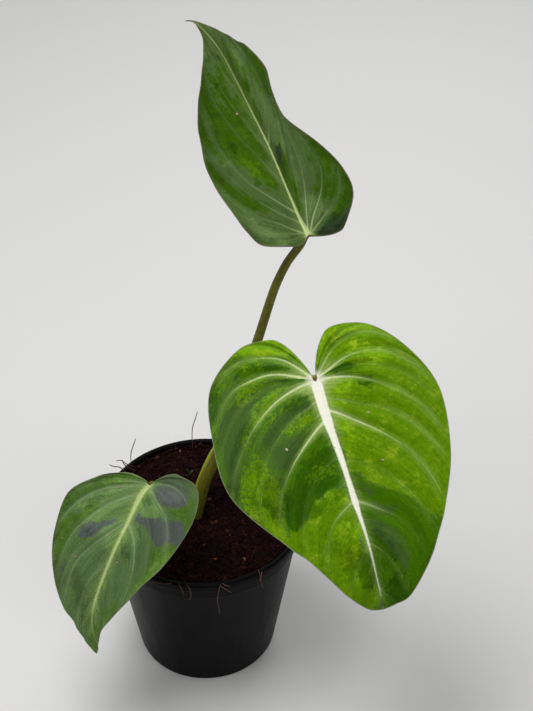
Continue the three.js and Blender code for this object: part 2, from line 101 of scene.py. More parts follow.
# Each blade is a fan of side veins, listed from the tip to the back of the lobes. A vein leaves the midrib,
# bends over its bend point and ends on the margin. Points are (across, towards the tip, rise) from the
# junction. Side -1 is on the left when looking from the junction to the tip, and side 1 on the right.
# Lines are the pale veins seen on the skin: the vein number, or five of them at even shares of the way to the
# margin, then the brightness, the share of the way that the line reaches, and the strength of the soft band
# around its far end. The rib has (vein number, half width, brightness, glow beside it). Spread is the mean width
# between two lines and the mean length of a line. Swell is how far the skin rises between two lines, and wave how
# far the margin waves. Patches are outlines on the blade's plane, as (across, towards the tip).
LARGE = {
    "name": "leaf_large", "node": "blade_large", "slot": "blade_light_green", "junction_vein": 6,
    "junction": (62, -32, 232), "tip": (94, -120, 158), "facing": (-0.07, -0.66, 0.75), "wave": 0.7,
    "midrib": [
        (-1, 121, -16), (-2, 109, -7), (-3, 87, -2), (-2.3, 65, -1), (-1.65, 43, 0), (-0.15, 20, 0), (0, 0, 0),
    ],
    "bends": {
        -1: [
            (-1, 121, -16), (-4, 114, -9), (-13, 95, 3), (-29, 73, 5), (-29, 52, 6), (-32, 31, 6),
            (-40, 2, 7), (-33, -21, 3), (-20, -32, -2), (-13, -27, -2), (-4, -19, -2),
        ],
        1: [
            (-1, 121, -16), (1, 114, -10), (6, 97, -1), (15, 70, 1), (24, 51, 4), (30, 35, 6), (38, 2, 6),
            (34, -25, 2), (21, -32, -2), (14, -30, -3), (8, -25, -2),
        ],
    },
    "margin": {
        -1: [
            (-1, 121, -16), (-8, 120, -13), (-16.5, 117.5, -9), (-29.5, 104.5, 1), (-38, 92, 5),
            (-45.4, 79, 6), (-55.4, 54, 9), (-58.9, 22, 9), (-49.5, -2, 7), (-34.5, -20, 1), (-15, -26, -2),
        ],
        1: [
            (-1, 121, -16), (6, 119, -13), (14, 110.5, -5), (21.5, 98.5, 1), (28.5, 87.5, 3),
            (36.5, 78, 5), (57, 47.5, 9.5), (58.5, 16, 9), (53, -9, 6), (35, -25.5, 1), (18, -27.5, -2),
        ],
    },
    "lines": {
        -1: [
            (1, 0.2, 0.3, 0.1),
            ((2, 2.02, 2.02, 2, 1.95), 0.1, 0.5, 0.2),
            ((3, 2.9, 2.93, 2.98, 3), 0.42, 0.35, 0.02),
            (4, 0.04, 0.3, 0.2),
            ((5.2, 5.05, 5.08, 5.16, 5.05), 1, 0.52, 0.7),
            ((5.5, 5.43, 5.58, 5.7, 5.8), 0.12, 0.4, 0.5),
            ((5.97, 6, 6.06, 6.17, 6.2), 1, 0.38, 0.55),
            ((6.4, 6.5, 6.6, 6.7, 6.7), 0.05, 0.3, 0.2),
            ((6.6, 6.97, 7.1, 7.2, 7.1), 0.95, 0.38, 0.7),
            ((7.5, 7.85, 8.02, 8.3, 8.3), 0.35, 0.35, 0.6),
            ((8.7, 9, 9, 9, 9), 0.1, 0.3, 0.2),
        ],
        1: [
            (1, 0.05, 0.3, 0.05),
            (2, 0.1, 0.2, 0.1),
            ((3, 3, 3.05, 3, 2.9), 0.32, 0.5, 0.15),
            (4.1, 0.05, 0.3, 0.1),
            ((4.95, 4.94, 5.03, 5.14, 5.05), 0.95, 0.56, 0.15),
            ((5.43, 5.48, 5.53, 5.55, 5.5), 0.12, 0.6, 0.15),
            ((5.97, 5.98, 5.98, 6, 6), 1, 0.6, 0.2),
            ((6.35, 6.5, 6.55, 6.6, 6.5), 0, 0.3, 0.15),
            ((6.6, 6.88, 6.96, 7.11, 6.95), 1, 0.68, 0.35),
            ((7.6, 8.02, 8.02, 8.12, 8), 1, 0.5, 0.45),
            ((8.6, 9, 9, 9, 9), 0.15, 0.4, 0.2),
        ],
    },
    "rib": [
        (0, 0.08, 0.35, 0.1), (0.8, 0.16, 0.6, 0.15), (1.5, 0.32, 0.75, 0.2), (2.2, 0.62, 0.85, 0.3),
        (2.7, 0.95, 1, 0.3), (3, 1.6, 1, 0.4), (3.2, 1.4, 1, 0.3), (3.7, 1.2, 1, 0.2), (4.2, 1.6, 1, 0.1),
        (4.6, 1.8, 1, 0.5), (4.9, 2.4, 1, 1), (5.25, 2.6, 1, 1), (5.85, 2.9, 1, 1), (6, 1.4, 1, 0.6),
    ],
    "line_half_width": 0.4, "spread": (11, 60), "swell": 1.6,
    "patches": {
        # Painted light: outlines where the colour is brightened to stand for light.
        "sunny": [
            [(39, -27), (30, -32), (19, -33), (11, -28), (3, -19), (-2, -7), (-3, 3), (4, 7), (10, 5), (12, -2),
             (14, -10), (23, -17), (33, -20)],
            [(-2, -15), (-7, -24), (-15, -29), (-23, -27), (-20, -21), (-12, -16), (-6, -9), (-1, -4), (0, -5)],
            [(-19, -12), (-28, -11), (-38, -5), (-41, 0), (-32, 0), (-23, -5)],
            [(-4, 0), (-11, 2), (-16, 7), (-12, 15), (-9, 18), (-11, 27), (-12, 36), (-6, 40), (-4, 29), (-2, 18),
             (0, 7)],
            [(2, 40), (-2, 43), (-2, 54), (-3, 63), (3, 64), (11, 64), (17, 60), (9, 56), (4, 51)],
            [(3, 77), (-3, 77), (-5, 84), (-2, 89), (2, 86), (4, 81)],
            [(38, 14), (33, 6), (26, 2), (17, 0), (7, -1), (7, 4), (14, 5), (23, 7), (30, 12), (36, 17)],
            [(-19, -27), (-29, -25), (-36, -18), (-32, -14), (-23, -18), (-17, -20)],
        ],
        # Painted shade: outlines where the colour is darkened to stand for shade.
        "dusk": [
            [(60, -8), (54, -19), (46, -26), (35, -29), (32, -23), (40, -17), (46, -11), (52, -4), (57, 0)],
            [(58, 42), (54, 34), (49, 25), (42, 16), (36, 14), (35, 19), (41, 26), (45, 34), (50, 43), (54, 49)],
            [(42, 44), (36, 42), (30, 47), (29, 56), (33, 63), (38, 65), (42, 57), (43, 51)],
            [(15, 80), (10, 86), (6, 91), (3, 98), (9, 101), (13, 92), (17, 85)],
            [(-7, 87), (-10, 91), (-12, 98), (-14, 106), (-11, 113), (-8, 104), (-5, 96)],
            [(4, 90), (0, 89), (-2, 93), (-2, 101), (-2, 109), (3, 109), (5, 104), (6, 97)],
            [(-43, 89), (-49, 83), (-40, 106), (-29, 118), (-21, 117), (-30, 103)],
            [(-3, 82), (-9, 82), (-14, 91), (-16, 99), (-10, 104), (-5, 96)],
        ],
        "lime": [
            [(1, 0), (-5, -17), (-11, -27), (-24, -30), (-87, 0), (-59, 91), (-40, 85), (-36, 81), (-34, 78),
             (-31, 72), (-26, 68), (-20, 64), (-15, 61), (-11, 58), (-9, 55), (-8, 52), (-4, 50), (-4, 39),
             (-2, 24), (-1, 13)],
            [(0, -1), (5, -6), (9, -12), (14, -16), (23, -20), (30, -21), (35, -20), (41, -20), (46, -18),
             (54, -15), (52, -25), (38, -35), (15, -33), (3, -20)],
            [(1, 53), (4, 55), (8, 56), (13, 58), (17, 60), (20, 64), (24, 67), (27, 70), (31, 72), (34, 71),
             (35, 67), (39, 66), (44, 62), (48, 58), (56, 59), (47, 82), (35, 95), (20, 116), (5, 122), (-1, 116),
             (0, 95), (-1, 77), (-1, 64)],
        ],
        "fleck": [
            [(39, -19), (33, -18), (24, -16), (21, -14), (25, -13), (32, -14), (39, -14)],
            [(34, 9), (30, 5), (25, 2), (19, 1), (13, 1), (6, 2), (8, 4), (15, 5), (23, 7), (27, 10), (33, 13),
             (38, 16)],
            [(30, 16), (26, 13), (20, 9), (12, 6), (5, 4), (7, 7), (14, 10), (21, 12), (27, 16), (33, 20)],
            [(53, 50), (50, 41), (47, 36), (41, 32), (40, 30), (37, 33), (36, 35), (35, 41), (33, 47), (32, 55),
             (34, 62), (36, 69), (43, 65), (49, 60), (52, 54)],
            [(2, 15), (5, 12), (11, 14), (19, 19), (23, 22), (20, 25), (14, 23), (6, 20), (2, 18)],
            [(19, 49), (15, 44), (10, 42), (1, 46), (3, 49), (11, 50), (17, 51)],
            [(37, -4), (33, -8), (26, -9), (24, -6), (29, -4), (34, -2)],
            [(51, -12), (44, -18), (40, -15), (44, -10), (51, -4), (55, -2)],
            [(43, 19), (38, 14), (37, 17), (42, 25), (45, 29)],
            [(38, -7), (31, -8), (26, -6), (29, -1), (37, 2), (42, 3)],
            [(41, 31), (43, 34), (46, 36), (48, 42), (52, 47), (51, 51), (50, 56), (48, 61), (44, 67), (39, 73),
             (34, 78), (29, 76), (32, 72), (36, 70), (36, 63), (34, 58), (32, 49), (33, 45), (35, 41), (38, 35)],
        ],
        "dark": [
            [(36, -16), (24, -14), (7, -9), (4, -5), (8, -5), (25, -11), (37, -11)],
            [(3, 25), (2, 36), (0, 48), (1, 53), (4, 55), (8, 56), (13, 58), (17, 60), (20, 64), (24, 67), (27, 70),
             (31, 72), (34, 71), (35, 67), (34, 61), (30, 50), (22, 39), (14, 32)],
            [(-4, 50), (-8, 52), (-9, 55), (-11, 58), (-15, 61), (-20, 64), (-26, 68), (-31, 72), (-34, 78),
             (-36, 81), (-39, 85), (-46, 87), (-35, 105), (-17, 123), (-1, 122), (-4, 111), (-3, 94), (-3, 75),
             (-3, 59)],
            [(-22, 4), (-25, 5), (-28, 7), (-27, 8), (-23, 6)],
            [(-21, 7), (-25, 8), (-27, 10), (-24, 11), (-20, 9)],
            [(-7, -2), (-12, -3), (-17, -4), (-22, -2), (-20, 0), (-15, 0), (-10, 1)],
        ],
        "shade": [
            [(-8, -3), (-13, -3), (-21, -3), (-23, 0), (-19, 2), (-11, 1)],
            [(-23, 6), (-28, 6), (-30, 8), (-29, 9)],
            [(-20, 9), (-26, 9), (-29, 11), (-27, 12), (-21, 11)],
            [(12, -15), (9, -14), (8, -10), (10, -10)],
            [(36, -23), (33, -23), (34, -20), (37, -21)],
            [(4, 93), (0, 91), (-1, 98), (0, 107), (5, 107), (7, 99)],
            [(9, 1), (4, 5), (1, 10), (3, 14), (10, 13), (18, 14), (19, 10), (13, 5)],
            [(5, 0), (10, 1), (16, -2), (20, -5), (12, -4), (6, -1)],
            # Painted shade where the tip curls down and away.
            [(-2, 118), (-7, 110), (-12, 105), (-17, 110), (-19, 115), (-15, 123)],
            [(50, 48), (46, 46), (45, 50), (45, 58), (48, 54)],
            [(42, 53), (38, 50), (38, 56), (38, 63), (43, 62)],
            [(42, 37), (38, 35), (40, 42), (42, 44)],
            [(54, -12), (51, -12), (49, -7), (51, 2), (55, 12), (57, 19), (58, 16), (57, 4)],
            [(2, 35), (0, 48), (-1, 52), (-2, 60), (3, 61), (8, 63), (15, 66), (22, 69), (29, 71), (34, 68),
             (35, 63), (32, 55), (25, 47), (17, 39), (8, 35)],
            [(40, -15), (34, -16), (26, -15), (19, -15), (15, -12), (12, -8), (17, -9), (25, -12), (32, -13),
             (38, -12)],
            [(37, -22), (34, -22), (33, -20), (34, -19), (37, -20)],
            [(12, -15), (10, -14), (9, -12), (11, -11), (12, -13)],
        ],
        "grey": [
            [(50, 6), (39, 0), (30, -2), (26, 0), (33, 5), (39, 10), (45, 20), (50, 30), (51, 40), (50, 44),
             (54, 51), (56, 42), (56, 30), (55, 18)],
            [(54, 51), (52, 56), (46, 64), (43, 68), (47, 69), (53, 61), (57, 51)],
            [(24, 14), (16, 11), (8, 10), (3, 14), (10, 14), (17, 17), (24, 21), (32, 30), (35, 25)],
            [(31, 30), (22, 26), (13, 25), (6, 22), (13, 29), (21, 36), (26, 41), (32, 40)],
            [(-10, 67), (-14, 69), (-22, 74), (-19, 77), (-11, 74)],
            [(-5, 75), (-11, 78), (-16, 83), (-20, 90), (-22, 99), (-18, 106), (-15, 99), (-12, 91), (-7, 84)],
            [(-8, 54), (-10, 59), (-14, 63), (-11, 66), (-7, 61), (-6, 57)],
            [(34, -7), (27, -4), (19, -1), (29, 0), (36, 1), (42, 2)],
        ],
    },
}

SMALL = {
    "name": "leaf_small", "node": "blade_small", "slot": "blade_mid_green", "junction_vein": 7,
    "junction": (-27, -25, 150), "tip": (-55.5, -89.5, 86), "facing": (-0.34, -0.58, 0.74), "wave": 0.7,
    "midrib": [(3.5, 98, -8.5), (6, 91, -5), (9, 81, -1), (10, 68, 1), (8, 43, 2), (5, 22, 1.5), (3, 8, 1),
               (0, 0, 0)],
    "bends": {
        -1: [
            (3.5, 98, -8.5), (5, 94, -6.5), (6.5, 87, -3), (5, 76, -1), (0, 58, -1.5), (-8, 33, 1),
            (-15, 20, 4.5), (-22, 10, 8.5), (-18, -7.5, 5.5), (-12, -9, 3), (-9.5, -10, 2),
        ],
        1: [
            (3.5, 98, -8.5), (6.5, 94, -6), (10.5, 87, -2), (14, 78, 2), (19, 64, 5.5), (25.5, 37.5, 9),
            (30, 16.5, 11), (28, 4, 10), (21.5, -3, 8), (15, -3, 5), (9.5, -4, 3),
        ],
    },
    "margin": {
        -1: [
            (3.5, 98, -8.5), (3.1, 95.5, -7.5), (3, 93, -6), (3.3, 88, -4.5), (1, 80.5, -3),
            (-4, 72.5, -1.5), (-14.5, 56, 4), (-26, 40.5, 9), (-37, 11.5, 12.5), (-31.5, -5.5, 9.5),
            (-17, -9.5, 4.5),
        ],
        1: [
            (3.5, 98, -8.5), (6.5, 96.5, -7), (10, 93.5, -4.5), (13, 90.5, -2), (18, 85, 1.5),
            (24.5, 79, 5), (33.5, 66.5, 9), (41, 41, 13), (40, 18.5, 13), (28, 5, 10), (16, -1.5, 5.5),
        ],
    },
    "lines": {
        -1: [
            (1, 0.03, 0.3, 0.1),
            (2, 0.06, 0.4, 0.15),
            (3, 0.09, 0.5, 0.2),
            ((3.8, 3.85, 3.8, 3.8, 3.8), 0.09, 0.5, 0.25),
            ((4.9, 4.95, 5.06, 5.2, 5.05), 0.37, 0.9, 0.35),
            ((5.9, 5.9, 6, 6, 6), 0.07, 0.5, 0.25),
            ((6.8, 6.8, 7.07, 7.08, 7), 0.31, 0.85, 0.3),
            ((7.7, 7.95, 8.1, 8.08, 8), 0.28, 0.8, 0.3),
            ((8.7, 9, 9, 9, 9), 0.06, 0.3, 0.2),
        ],
        1: [
            (1, 0.03, 0.3, 0.15),
            (2, 0.06, 0.4, 0.2),
            ((3, 3, 3, 3, 2.9), 0.09, 0.5, 0.25),
            ((3.85, 4, 4.03, 3.85, 3.7), 0.19, 0.7, 0.35),
            ((4.9, 4.88, 5.03, 5.3, 5.05), 0.31, 0.95, 0.5),
            ((5.1, 5.15, 5.3, 5.6, 5.7), 0.09, 0.7, 0.35),
            ((6.1, 5.98, 6.04, 6.23, 6), 0.31, 0.95, 0.55),
            ((6.85, 6.83, 7.06, 7.19, 7.05), 0.37, 0.9, 0.5),
            ((7, 7.5, 7.78, 7.9, 8), 0.19, 0.6, 0.4),
            ((8.6, 8.8, 9, 9, 9), 0.06, 0.4, 0.2),
        ],
    },
    "rib": [
        (0, 0.15, 0.05, 0), (1, 0.2, 0.1, 0.1), (2, 0.3, 0.35, 0.3), (2.6, 0.4, 0.6, 0.4), (3, 0.5, 0.75, 0.5),
        (4, 0.6, 0.9, 0.5), (5, 0.85, 1, 0.7), (6, 1.4, 1, 0.9), (6.6, 1.3, 1, 0.9), (7, 1, 1, 0.5),
    ],
    "line_half_width": 0.6, "spread": (8, 40), "swell": 1,
    "patches": {
        # Painted light: outlines where the colour is brightened to stand for light.
        "sunny": [
            [(24, 6), (15, -2), (2, -3), (-4, 4), (0, 14), (3, 26), (4, 35), (9, 40), (15, 37), (19, 34), (27, 31),
             (33, 26), (29, 15), (22, 11)],
            [(1, 11), (-5, 8), (-16, 10), (-18, 15), (-7, 18), (0, 17)],
            [(-6, 3), (-13, -1), (-21, -2), (-27, 2), (-24, 6), (-17, 8), (-9, 7)],
            [(5, 25), (1, 22), (-5, 28), (-5, 35), (0, 36)],
            [(-7, 71), (-11, 57), (-16, 46), (-24, 35), (-31, 28), (-31, 35), (-22, 54), (-13, 74)],
        ],
        # Painted shade: outlines where the colour is darkened to stand for shade.
        "dusk": [
            [(43, 51), (49, 28), (51, 17), (45, 7), (34, 0), (22, -3), (20, 6), (29, 11), (36, 16), (40, 23),
             (39, 33), (37, 47)],
            [(26, 59), (21, 58), (16, 66), (14, 80), (18, 76), (23, 68)],
            [(39, 56), (32, 55), (28, 64), (29, 70), (35, 67)],
        ],
        "lime": [
            [(42, 26), (39, 17), (33, 9), (26, 4), (17, -1), (12, -2), (5, -1), (10, 2), (16, 5), (23, 9), (28, 13),
             (33, 18), (37, 27), (39, 36), (41, 35)],
            [(40, 37), (38, 30), (33, 27), (29, 24), (24, 20), (25, 25), (29, 31), (30, 38), (32, 47), (34, 56),
             (37, 50)],
            [(-28, 4), (-31, 1), (-33, 3), (-36, 11), (-35, 25), (-29, 35), (-20, 48), (-14, 57), (-10, 59),
             (-13, 50), (-17, 43), (-16, 34), (-21, 32), (-32, 27), (-36, 22), (-30, 13), (-24, 12), (-19, 10),
             (-24, 9)],
            [(7, 83), (4, 78), (2, 71), (-2, 68), (-1, 74), (3, 81), (4, 90), (3, 97), (5, 96), (8, 91)],
        ],
        "dark": [
            [(-2, 2), (-7, -1), (-15, -3), (-21, -3), (-26, -1), (-29, 1), (-29, 4), (-27, 7), (-22, 8), (-17, 9),
             (-9, 8), (-5, 5)],
            [(2, 22), (1, 17), (-1, 17), (-2, 19), (-8, 18), (-11, 17), (-16, 15), (-19, 17), (-21, 16), (-30, 14),
             (-33, 18), (-35, 21), (-35, 25), (-31, 27), (-27, 27), (-23, 27), (-22, 29), (-20, 31), (-17, 30),
             (-12, 27), (-8, 24), (-6, 23), (-1, 22)],
            [(27, 39), (29, 37), (27, 33), (24, 29), (23, 29), (20, 29), (17, 27), (14, 25), (12, 24), (11, 24),
             (13, 28), (15, 29), (17, 32), (20, 37), (24, 39)],
            [(33, 61), (32, 58), (31, 55), (30, 55), (30, 57), (31, 60), (31, 61)],
        ],
        "shade": [
            [(39, 24), (38, 22), (36, 21), (36, 23), (38, 25), (39, 29), (39, 32), (40, 32), (41, 28)],
            [(30, 20), (28, 18), (25, 17), (25, 15), (21, 14), (22, 15), (23, 18), (25, 20), (28, 21)],
            [(4, 39), (2, 38), (1, 41), (3, 41)],
            [(0, 40), (-2, 40), (-2, 43), (-1, 43)],
            [(1, 6), (-1, 6), (-4, 10), (-2, 11), (0, 9)],
        ],
        "grey": [
            [(-5, -5), (-11, -8), (-20, -8), (-26, -6), (-30, -2), (-27, -2), (-20, -4), (-9, -2)],
        ],
    },
}

TOP = {
    "name": "leaf_top", "node": "blade_top", "slot": "blade_dark_green", "junction_vein": 10,
    "junction": (57, -3, 300), "tip": (2.4, 95.3, 365), "facing": (-0.29, -0.63, 0.72), "wave": 0.25,
    "midrib": [(-9, 146, -16.5), (-4.5, 143, -16.5), (-1.5, 135, -12.5), (1.5, 124, -7), (3.5, 110, -3),
               (4, 93, -1), (4, 75, 0), (4, 53, 1), (2.5, 28, 1), (1.5, 13, 0), (1.6, 0, 0)],
    "bends": {
        -1: [
            (-9, 146, -16.5), (-4.8, 142.9, -16.5), (-2.5, 136, -13), (-1.5, 126, -8), (-2, 116, -6),
            (-3, 105, -5), (-5, 92, -3), (-7, 75, 0), (-13, 54, 6), (-17, 37, 10), (-17, 22, 10),
            (-17, 13, 10), (-14, 6, 8), (-12, 1.5, 6), (-9, -1.5, 4.5), (-4.5, -4.5, 2.5),
        ],
        1: [
            (-9, 146, -16.5), (-4.2, 143.5, -17), (0, 136.5, -13.5), (3.5, 128, -8), (7, 117, -1),
            (9, 105, 2), (14, 89, 7), (15, 65, 11), (12, 48, 9), (10, 32, 7), (9, 13, 3), (25, 12, 0),
            (22, 7, -2), (17.5, 4, -1), (15, -1, -0.5), (14.5, -7.5, -0.5),
        ],
    },
    "margin": {
        -1: [
            (-9, 146, -16.5), (-4.8, 142.6, -16.5), (-3.2, 136, -12.5), (-3, 126, -7.5), (-6, 116, -3),
            (-9.5, 107, 1), (-14, 97, 5), (-18.5, 87, 9), (-22.5, 76, 12), (-25, 65, 14), (-27.5, 53, 15),
            (-27.5, 40, 15), (-25.5, 26, 15), (-23.5, 13.5, 13), (-20, 4.5, 10), (-9.5, -0.5, 5),
        ],
        1: [
            (-9, 146, -16.5), (-4.1, 143.6, -17), (0.3, 137.4, -14), (4.5, 130, -8), (8.5, 122, -2.5),
            (11.5, 116, 2), (14.5, 109, 6), (18.5, 101, 11), (22.5, 84, 16), (20.5, 74, 16), (19, 61, 14),
            (20.5, 53.5, 12), (28, 38, 5), (32.2, 23, 0), (30.8, 8.5, -1), (19.5, -4.2, -1),
        ],
    },
    "lines": {
        -1: [
            (1, 0, 0.3, 0.1),
            ((4.5, 3.6, 2.8, 2, 1.5), 0.03, 0.5, 0.25),
            ((6, 5.2, 4.1, 2.9, 2), 0.05, 0.8, 0.35),
            ((7.3, 6.75, 5.9, 4.2, 2.8), 0.06, 0.8, 0.45),
            ((7.9, 7.55, 7.25, 6.35, 4.2), 0.08, 0.8, 0.55),
            ((8.95, 8.85, 8.78, 8.2, 6.8), 0.4, 0.5, 0.7),
            ((9.4, 9.43, 9.45, 9.3, 8.9), 0.25, 0.5, 0.55),
            ((9.9, 10.15, 10.68, 10.83, 10.5), 0.5, 0.4, 0.5),
            ((10.3, 11.5, 12, 12.3, 12.3), 0.3, 0.35, 0.3),
            ((10.6, 12.8, 13.3, 13.6, 13.7), 0.15, 0.35, 0.2),
        ],
        1: [
            (1, 0, 0.3, 0.1),
            ((4.5, 4.3, 4, 3.6, 3), 0.04, 0.5, 0.3),
            ((6, 5.9, 5.8, 5.4, 4.2), 0.05, 0.5, 0.3),
            ((7, 7.05, 7.25, 7.05, 5.2), 0.7, 0.3, 0.5),
            ((8.8, 8.9, 8.87, 9.1, 8.2), 0.08, 0.5, 0.4),
            ((9.88, 9.94, 10.18, 10.28, 10), 1, 0.6, 0.4),
            ((10.15, 10.45, 11.15, 11.5, 10.8), 0.95, 0.55, 0.5),
            ((10.6, 11.95, 13.05, 13.15, 12.6), 1, 0.42, 0.4),
            ((10.9, 13.2, 14.2, 14.2, 14.2), 0.1, 0.3, 0.2),
        ],
    },
    "rib": [
        (0, 0.1, 0.2, 0.1), (1, 0.12, 0.25, 0.2), (2, 0.15, 0.35, 0.3), (3, 0.2, 0.4, 0.4), (5, 0.28, 0.5, 0.5),
        (6, 0.32, 0.62, 0.5), (7, 0.36, 0.95, 0.5), (8, 0.42, 1, 0.5), (9, 0.65, 1, 0.6), (9.5, 1, 1, 0.7),
        (10, 1.3, 1, 0.4),
    ],
    "line_half_width": 0.34, "spread": (7, 40), "swell": 0.7,
    "patches": {
        # Painted shade: outlines where the colour is darkened to stand for shade.
        "dusk": [
            [(21, 58), (29, 49), (36, 37), (40, 24), (38, 9), (29, -3), (17, -8), (5, -6), (5, 1), (16, 2), (23, 6),
             (28, 12), (29, 22), (27, 32), (23, 41), (19, 48)],
            [(-17, 105), (-10, 115), (-4, 112), (-9, 94), (-13, 79), (-16, 66), (-17, 54), (-18, 44), (-24, 42),
             (-27, 55), (-26, 70), (-23, 87)],
            [(-7, 143), (1, 133), (4, 121), (4, 109), (-1, 110), (-3, 119), (-8, 130)],
            [(-24, 20), (-20, 15), (-19, 7), (-19, 1), (-26, 6), (-27, 16)],
            [(-3, 21), (0, 17), (0, 11), (-3, 11), (-5, 16)],
        ],
        # Painted light: outlines where the colour is brightened to stand for light.
        "sunny": [
            [(8, 112), (15, 100), (15, 85), (16, 68), (15, 52), (12, 41), (7, 45), (6, 63), (5, 80), (6, 96)],
            [(12, 38), (11, 29), (8, 19), (14, 14), (15, 7), (10, 1), (3, -1), (0, 5), (2, 18), (5, 33)],
            [(-20, 63), (-16, 60), (-16, 51), (-19, 50), (-22, 55)],
            [(-10, 57), (-7, 54), (-5, 45), (-3, 34), (-7, 34), (-9, 42), (-11, 51)],
            [(-20, 23), (-17, 17), (-13, 10), (-7, 3), (-11, 1), (-18, 8), (-21, 15)],
        ],
        "lime": [
            [(-2, 107), (-1, 103), (-3, 96), (-3, 86), (-3, 77), (-2, 67), (-1, 55), (1, 46), (-2, 48), (-5, 57),
             (-6, 65), (-7, 75), (-7, 85), (-6, 95)],
            [(-6, 112), (-7, 105), (-9, 96), (-9, 85), (-8, 74), (-6, 62), (-4, 51), (-2, 40), (-2, 30), (-5, 33),
             (-9, 44), (-13, 53), (-17, 61), (-17, 71), (-16, 83), (-12, 97)],
            [(-14, 95), (-17, 83), (-19, 73), (-19, 63), (-17, 55), (-19, 55), (-21, 64), (-25, 63), (-24, 54),
             (-22, 44), (-19, 35), (-15, 28), (-10, 23), (-13, 22), (-19, 27), (-23, 34), (-26, 44), (-26, 55),
             (-24, 69), (-20, 82)],
            [(4, 117), (6, 110), (7, 101), (6, 92), (7, 83), (7, 74), (6, 66), (2, 63), (1, 71), (2, 80), (2, 89),
             (3, 99), (2, 109)],
            [(10, 94), (9, 87), (7, 80), (5, 82), (7, 89)],
            [(17, 102), (19, 94), (20, 87), (19, 81), (18, 72), (16, 75), (16, 84), (16, 94)],
            [(8, 42), (8, 34), (7, 27), (6, 19), (3, 13), (2, 15), (2, 23), (3, 32), (4, 40)],
            [(23, 43), (27, 37), (29, 33), (27, 25), (22, 20), (18, 14), (17, 18), (22, 25), (23, 32)],
            [(29, 29), (30, 25), (28, 18), (24, 12), (20, 12), (23, 17), (27, 22)],
            [(-15, 97), (-10, 103), (-10, 93), (-13, 82), (-15, 73), (-15, 61), (-16, 54), (-19, 54), (-20, 64),
             (-21, 73), (-19, 85)],
            [(29, 37), (34, 31), (34, 18), (33, 8), (26, 2), (20, 2), (20, 9), (26, 13), (29, 22), (28, 30)],
        ],
        "dark": [
            [(8, 49), (11, 48), (10, 43), (6, 39), (3, 40), (4, 45)],
            [(5, 0), (12, 2), (17, 2), (20, 0), (24, 3), (27, 4), (24, -2), (17, -5), (10, -5)],
        ],
        "shade": [
            [(14, 5), (21, 2), (21, -1), (14, -2), (7, -1), (7, 2)],
            [(-13, 63), (-12, 58), (-12, 56), (-14, 57)],
            [(-9, 38), (-8, 36), (-10, 34)],
            [(8, 87), (9, 85), (7, 83), (6, 86)],
            [(-6, 97), (-6, 95), (-7, 94)],
        ],
    },
}

# Blade skin: half its thickness, its round margin and its rib.
BLADE_HALF = 0.28
EDGE_ROUND = 0.6
RIB_DEPTH = 2.0
RIB_BODY = 0.9
RIB_LEGS = 160
# Relief: grooves on the lines above and ridges below as (depth, half width), the dip along the rib, and the fine
# ripples across the veins as (height, size, stretch along the veins).
GROOVE = (0.3, 1.1)
RIDGE = (0.35, 0.8)
RIB_DIP = 0.45
RIPPLE = (0.13, 1.6, 10)
# Waves of the margin, counted in veins from the tip, and the round end of each lobe.
WAVES_PER_VEIN = 0.65
VEINS_TO_FULL_WAVE = 3
LOBE_ROUND_VEINS = 0.4
LOBE_ROUND_SHARE = 0.2
# The blade's grid: rows to a vein, columns to a half, and the extra ones close to the margin.
ROWS_PER_VEIN = 22
BACK_ROWS = (0.3, 0.2, 0.13, 0.08, 0.045, 0.02, 0.007, 0.002)
COLUMNS = 46
RIM_COLUMNS = (0.03, 0.015, 0.008, 0.004, 0.0015)
# A line's path has a vein number at this many shares. A line past the first or last one isn't seen.
LINE_SHARES = 5
NO_LINE = (0, 0.5, 0)
# Patches: how deep one counts, their kinds, and how far apart the two halves lie in the flow map. The first two
# kinds are painted light and painted shade.
PATCH_REACH = 12
PATCH_KINDS = ("sunny", "dusk", "lime", "fleck", "dark", "shade", "grey")
FLOW_APART = 400

# Petioles: route from the rhizome to the junction, and the radii at the foot, the middle and the top.
PETIOLES = {
    "petiole_large": {
        "route": [(-3.5, 4.5, 94), (-4.3, 4.4, 102.7), (-0.2, 8.1, 118), (7.4, 13.5, 135.6), (18.7, 16.8, 152.2),
                  (34, 12, 174), (50, -6, 202), (59.5, -26, 226), (62, -32, 232)],
        "radii": (3.7, 3, 2.6), "blade": LARGE,
        "looks": {"Skin": (0.200, 0.235, 0.002), "Fresh": (0.400, 0.440, 0.004), "Redness": 0.2},
    },
    "petiole_small": {
        "route": [(-8.7, -10, 94), (-8.2, -10, 103.5), (-10.8, -10, 114.5), (-17, -12.5, 127.5),
                  (-23, -18.5, 139), (-27, -25, 150)],
        "radii": (3, 2.5, 2.2), "blade": SMALL,
        "looks": {"Skin": (0.110, 0.135, 0.006), "Fresh": (0.210, 0.250, 0.016), "Redness": 0.2},
    },
    "petiole_top": {
        "route": [(-4.2, -4.5, 94), (-4, -4.5, 103.5), (2.1, -1.7, 129.8), (9.1, 1.7, 146.4), (21, 6, 184),
                  (32.8, 7, 228), (39.1, 6, 254), (42.9, 5, 267.5), (47.7, 4, 280), (53.5, 2, 291.5),
                  (56, -1.2, 301)],
        "radii": (3.7, 2.85, 2.05), "blade": TOP,
        "looks": {"Skin": (0.094, 0.084, 0.005), "Fresh": (0.175, 0.172, 0.010), "Redness": 0.4},
    },
}
# How far a petiole's end stays below its blade, its rings and the points of each, and its knee as (swell, way
# below the top, length).
PETIOLE_GAP = 1.1
PETIOLE_STEPS = 200
PETIOLE_SIDES = 40
KNEE = (0.08, 7, 5)

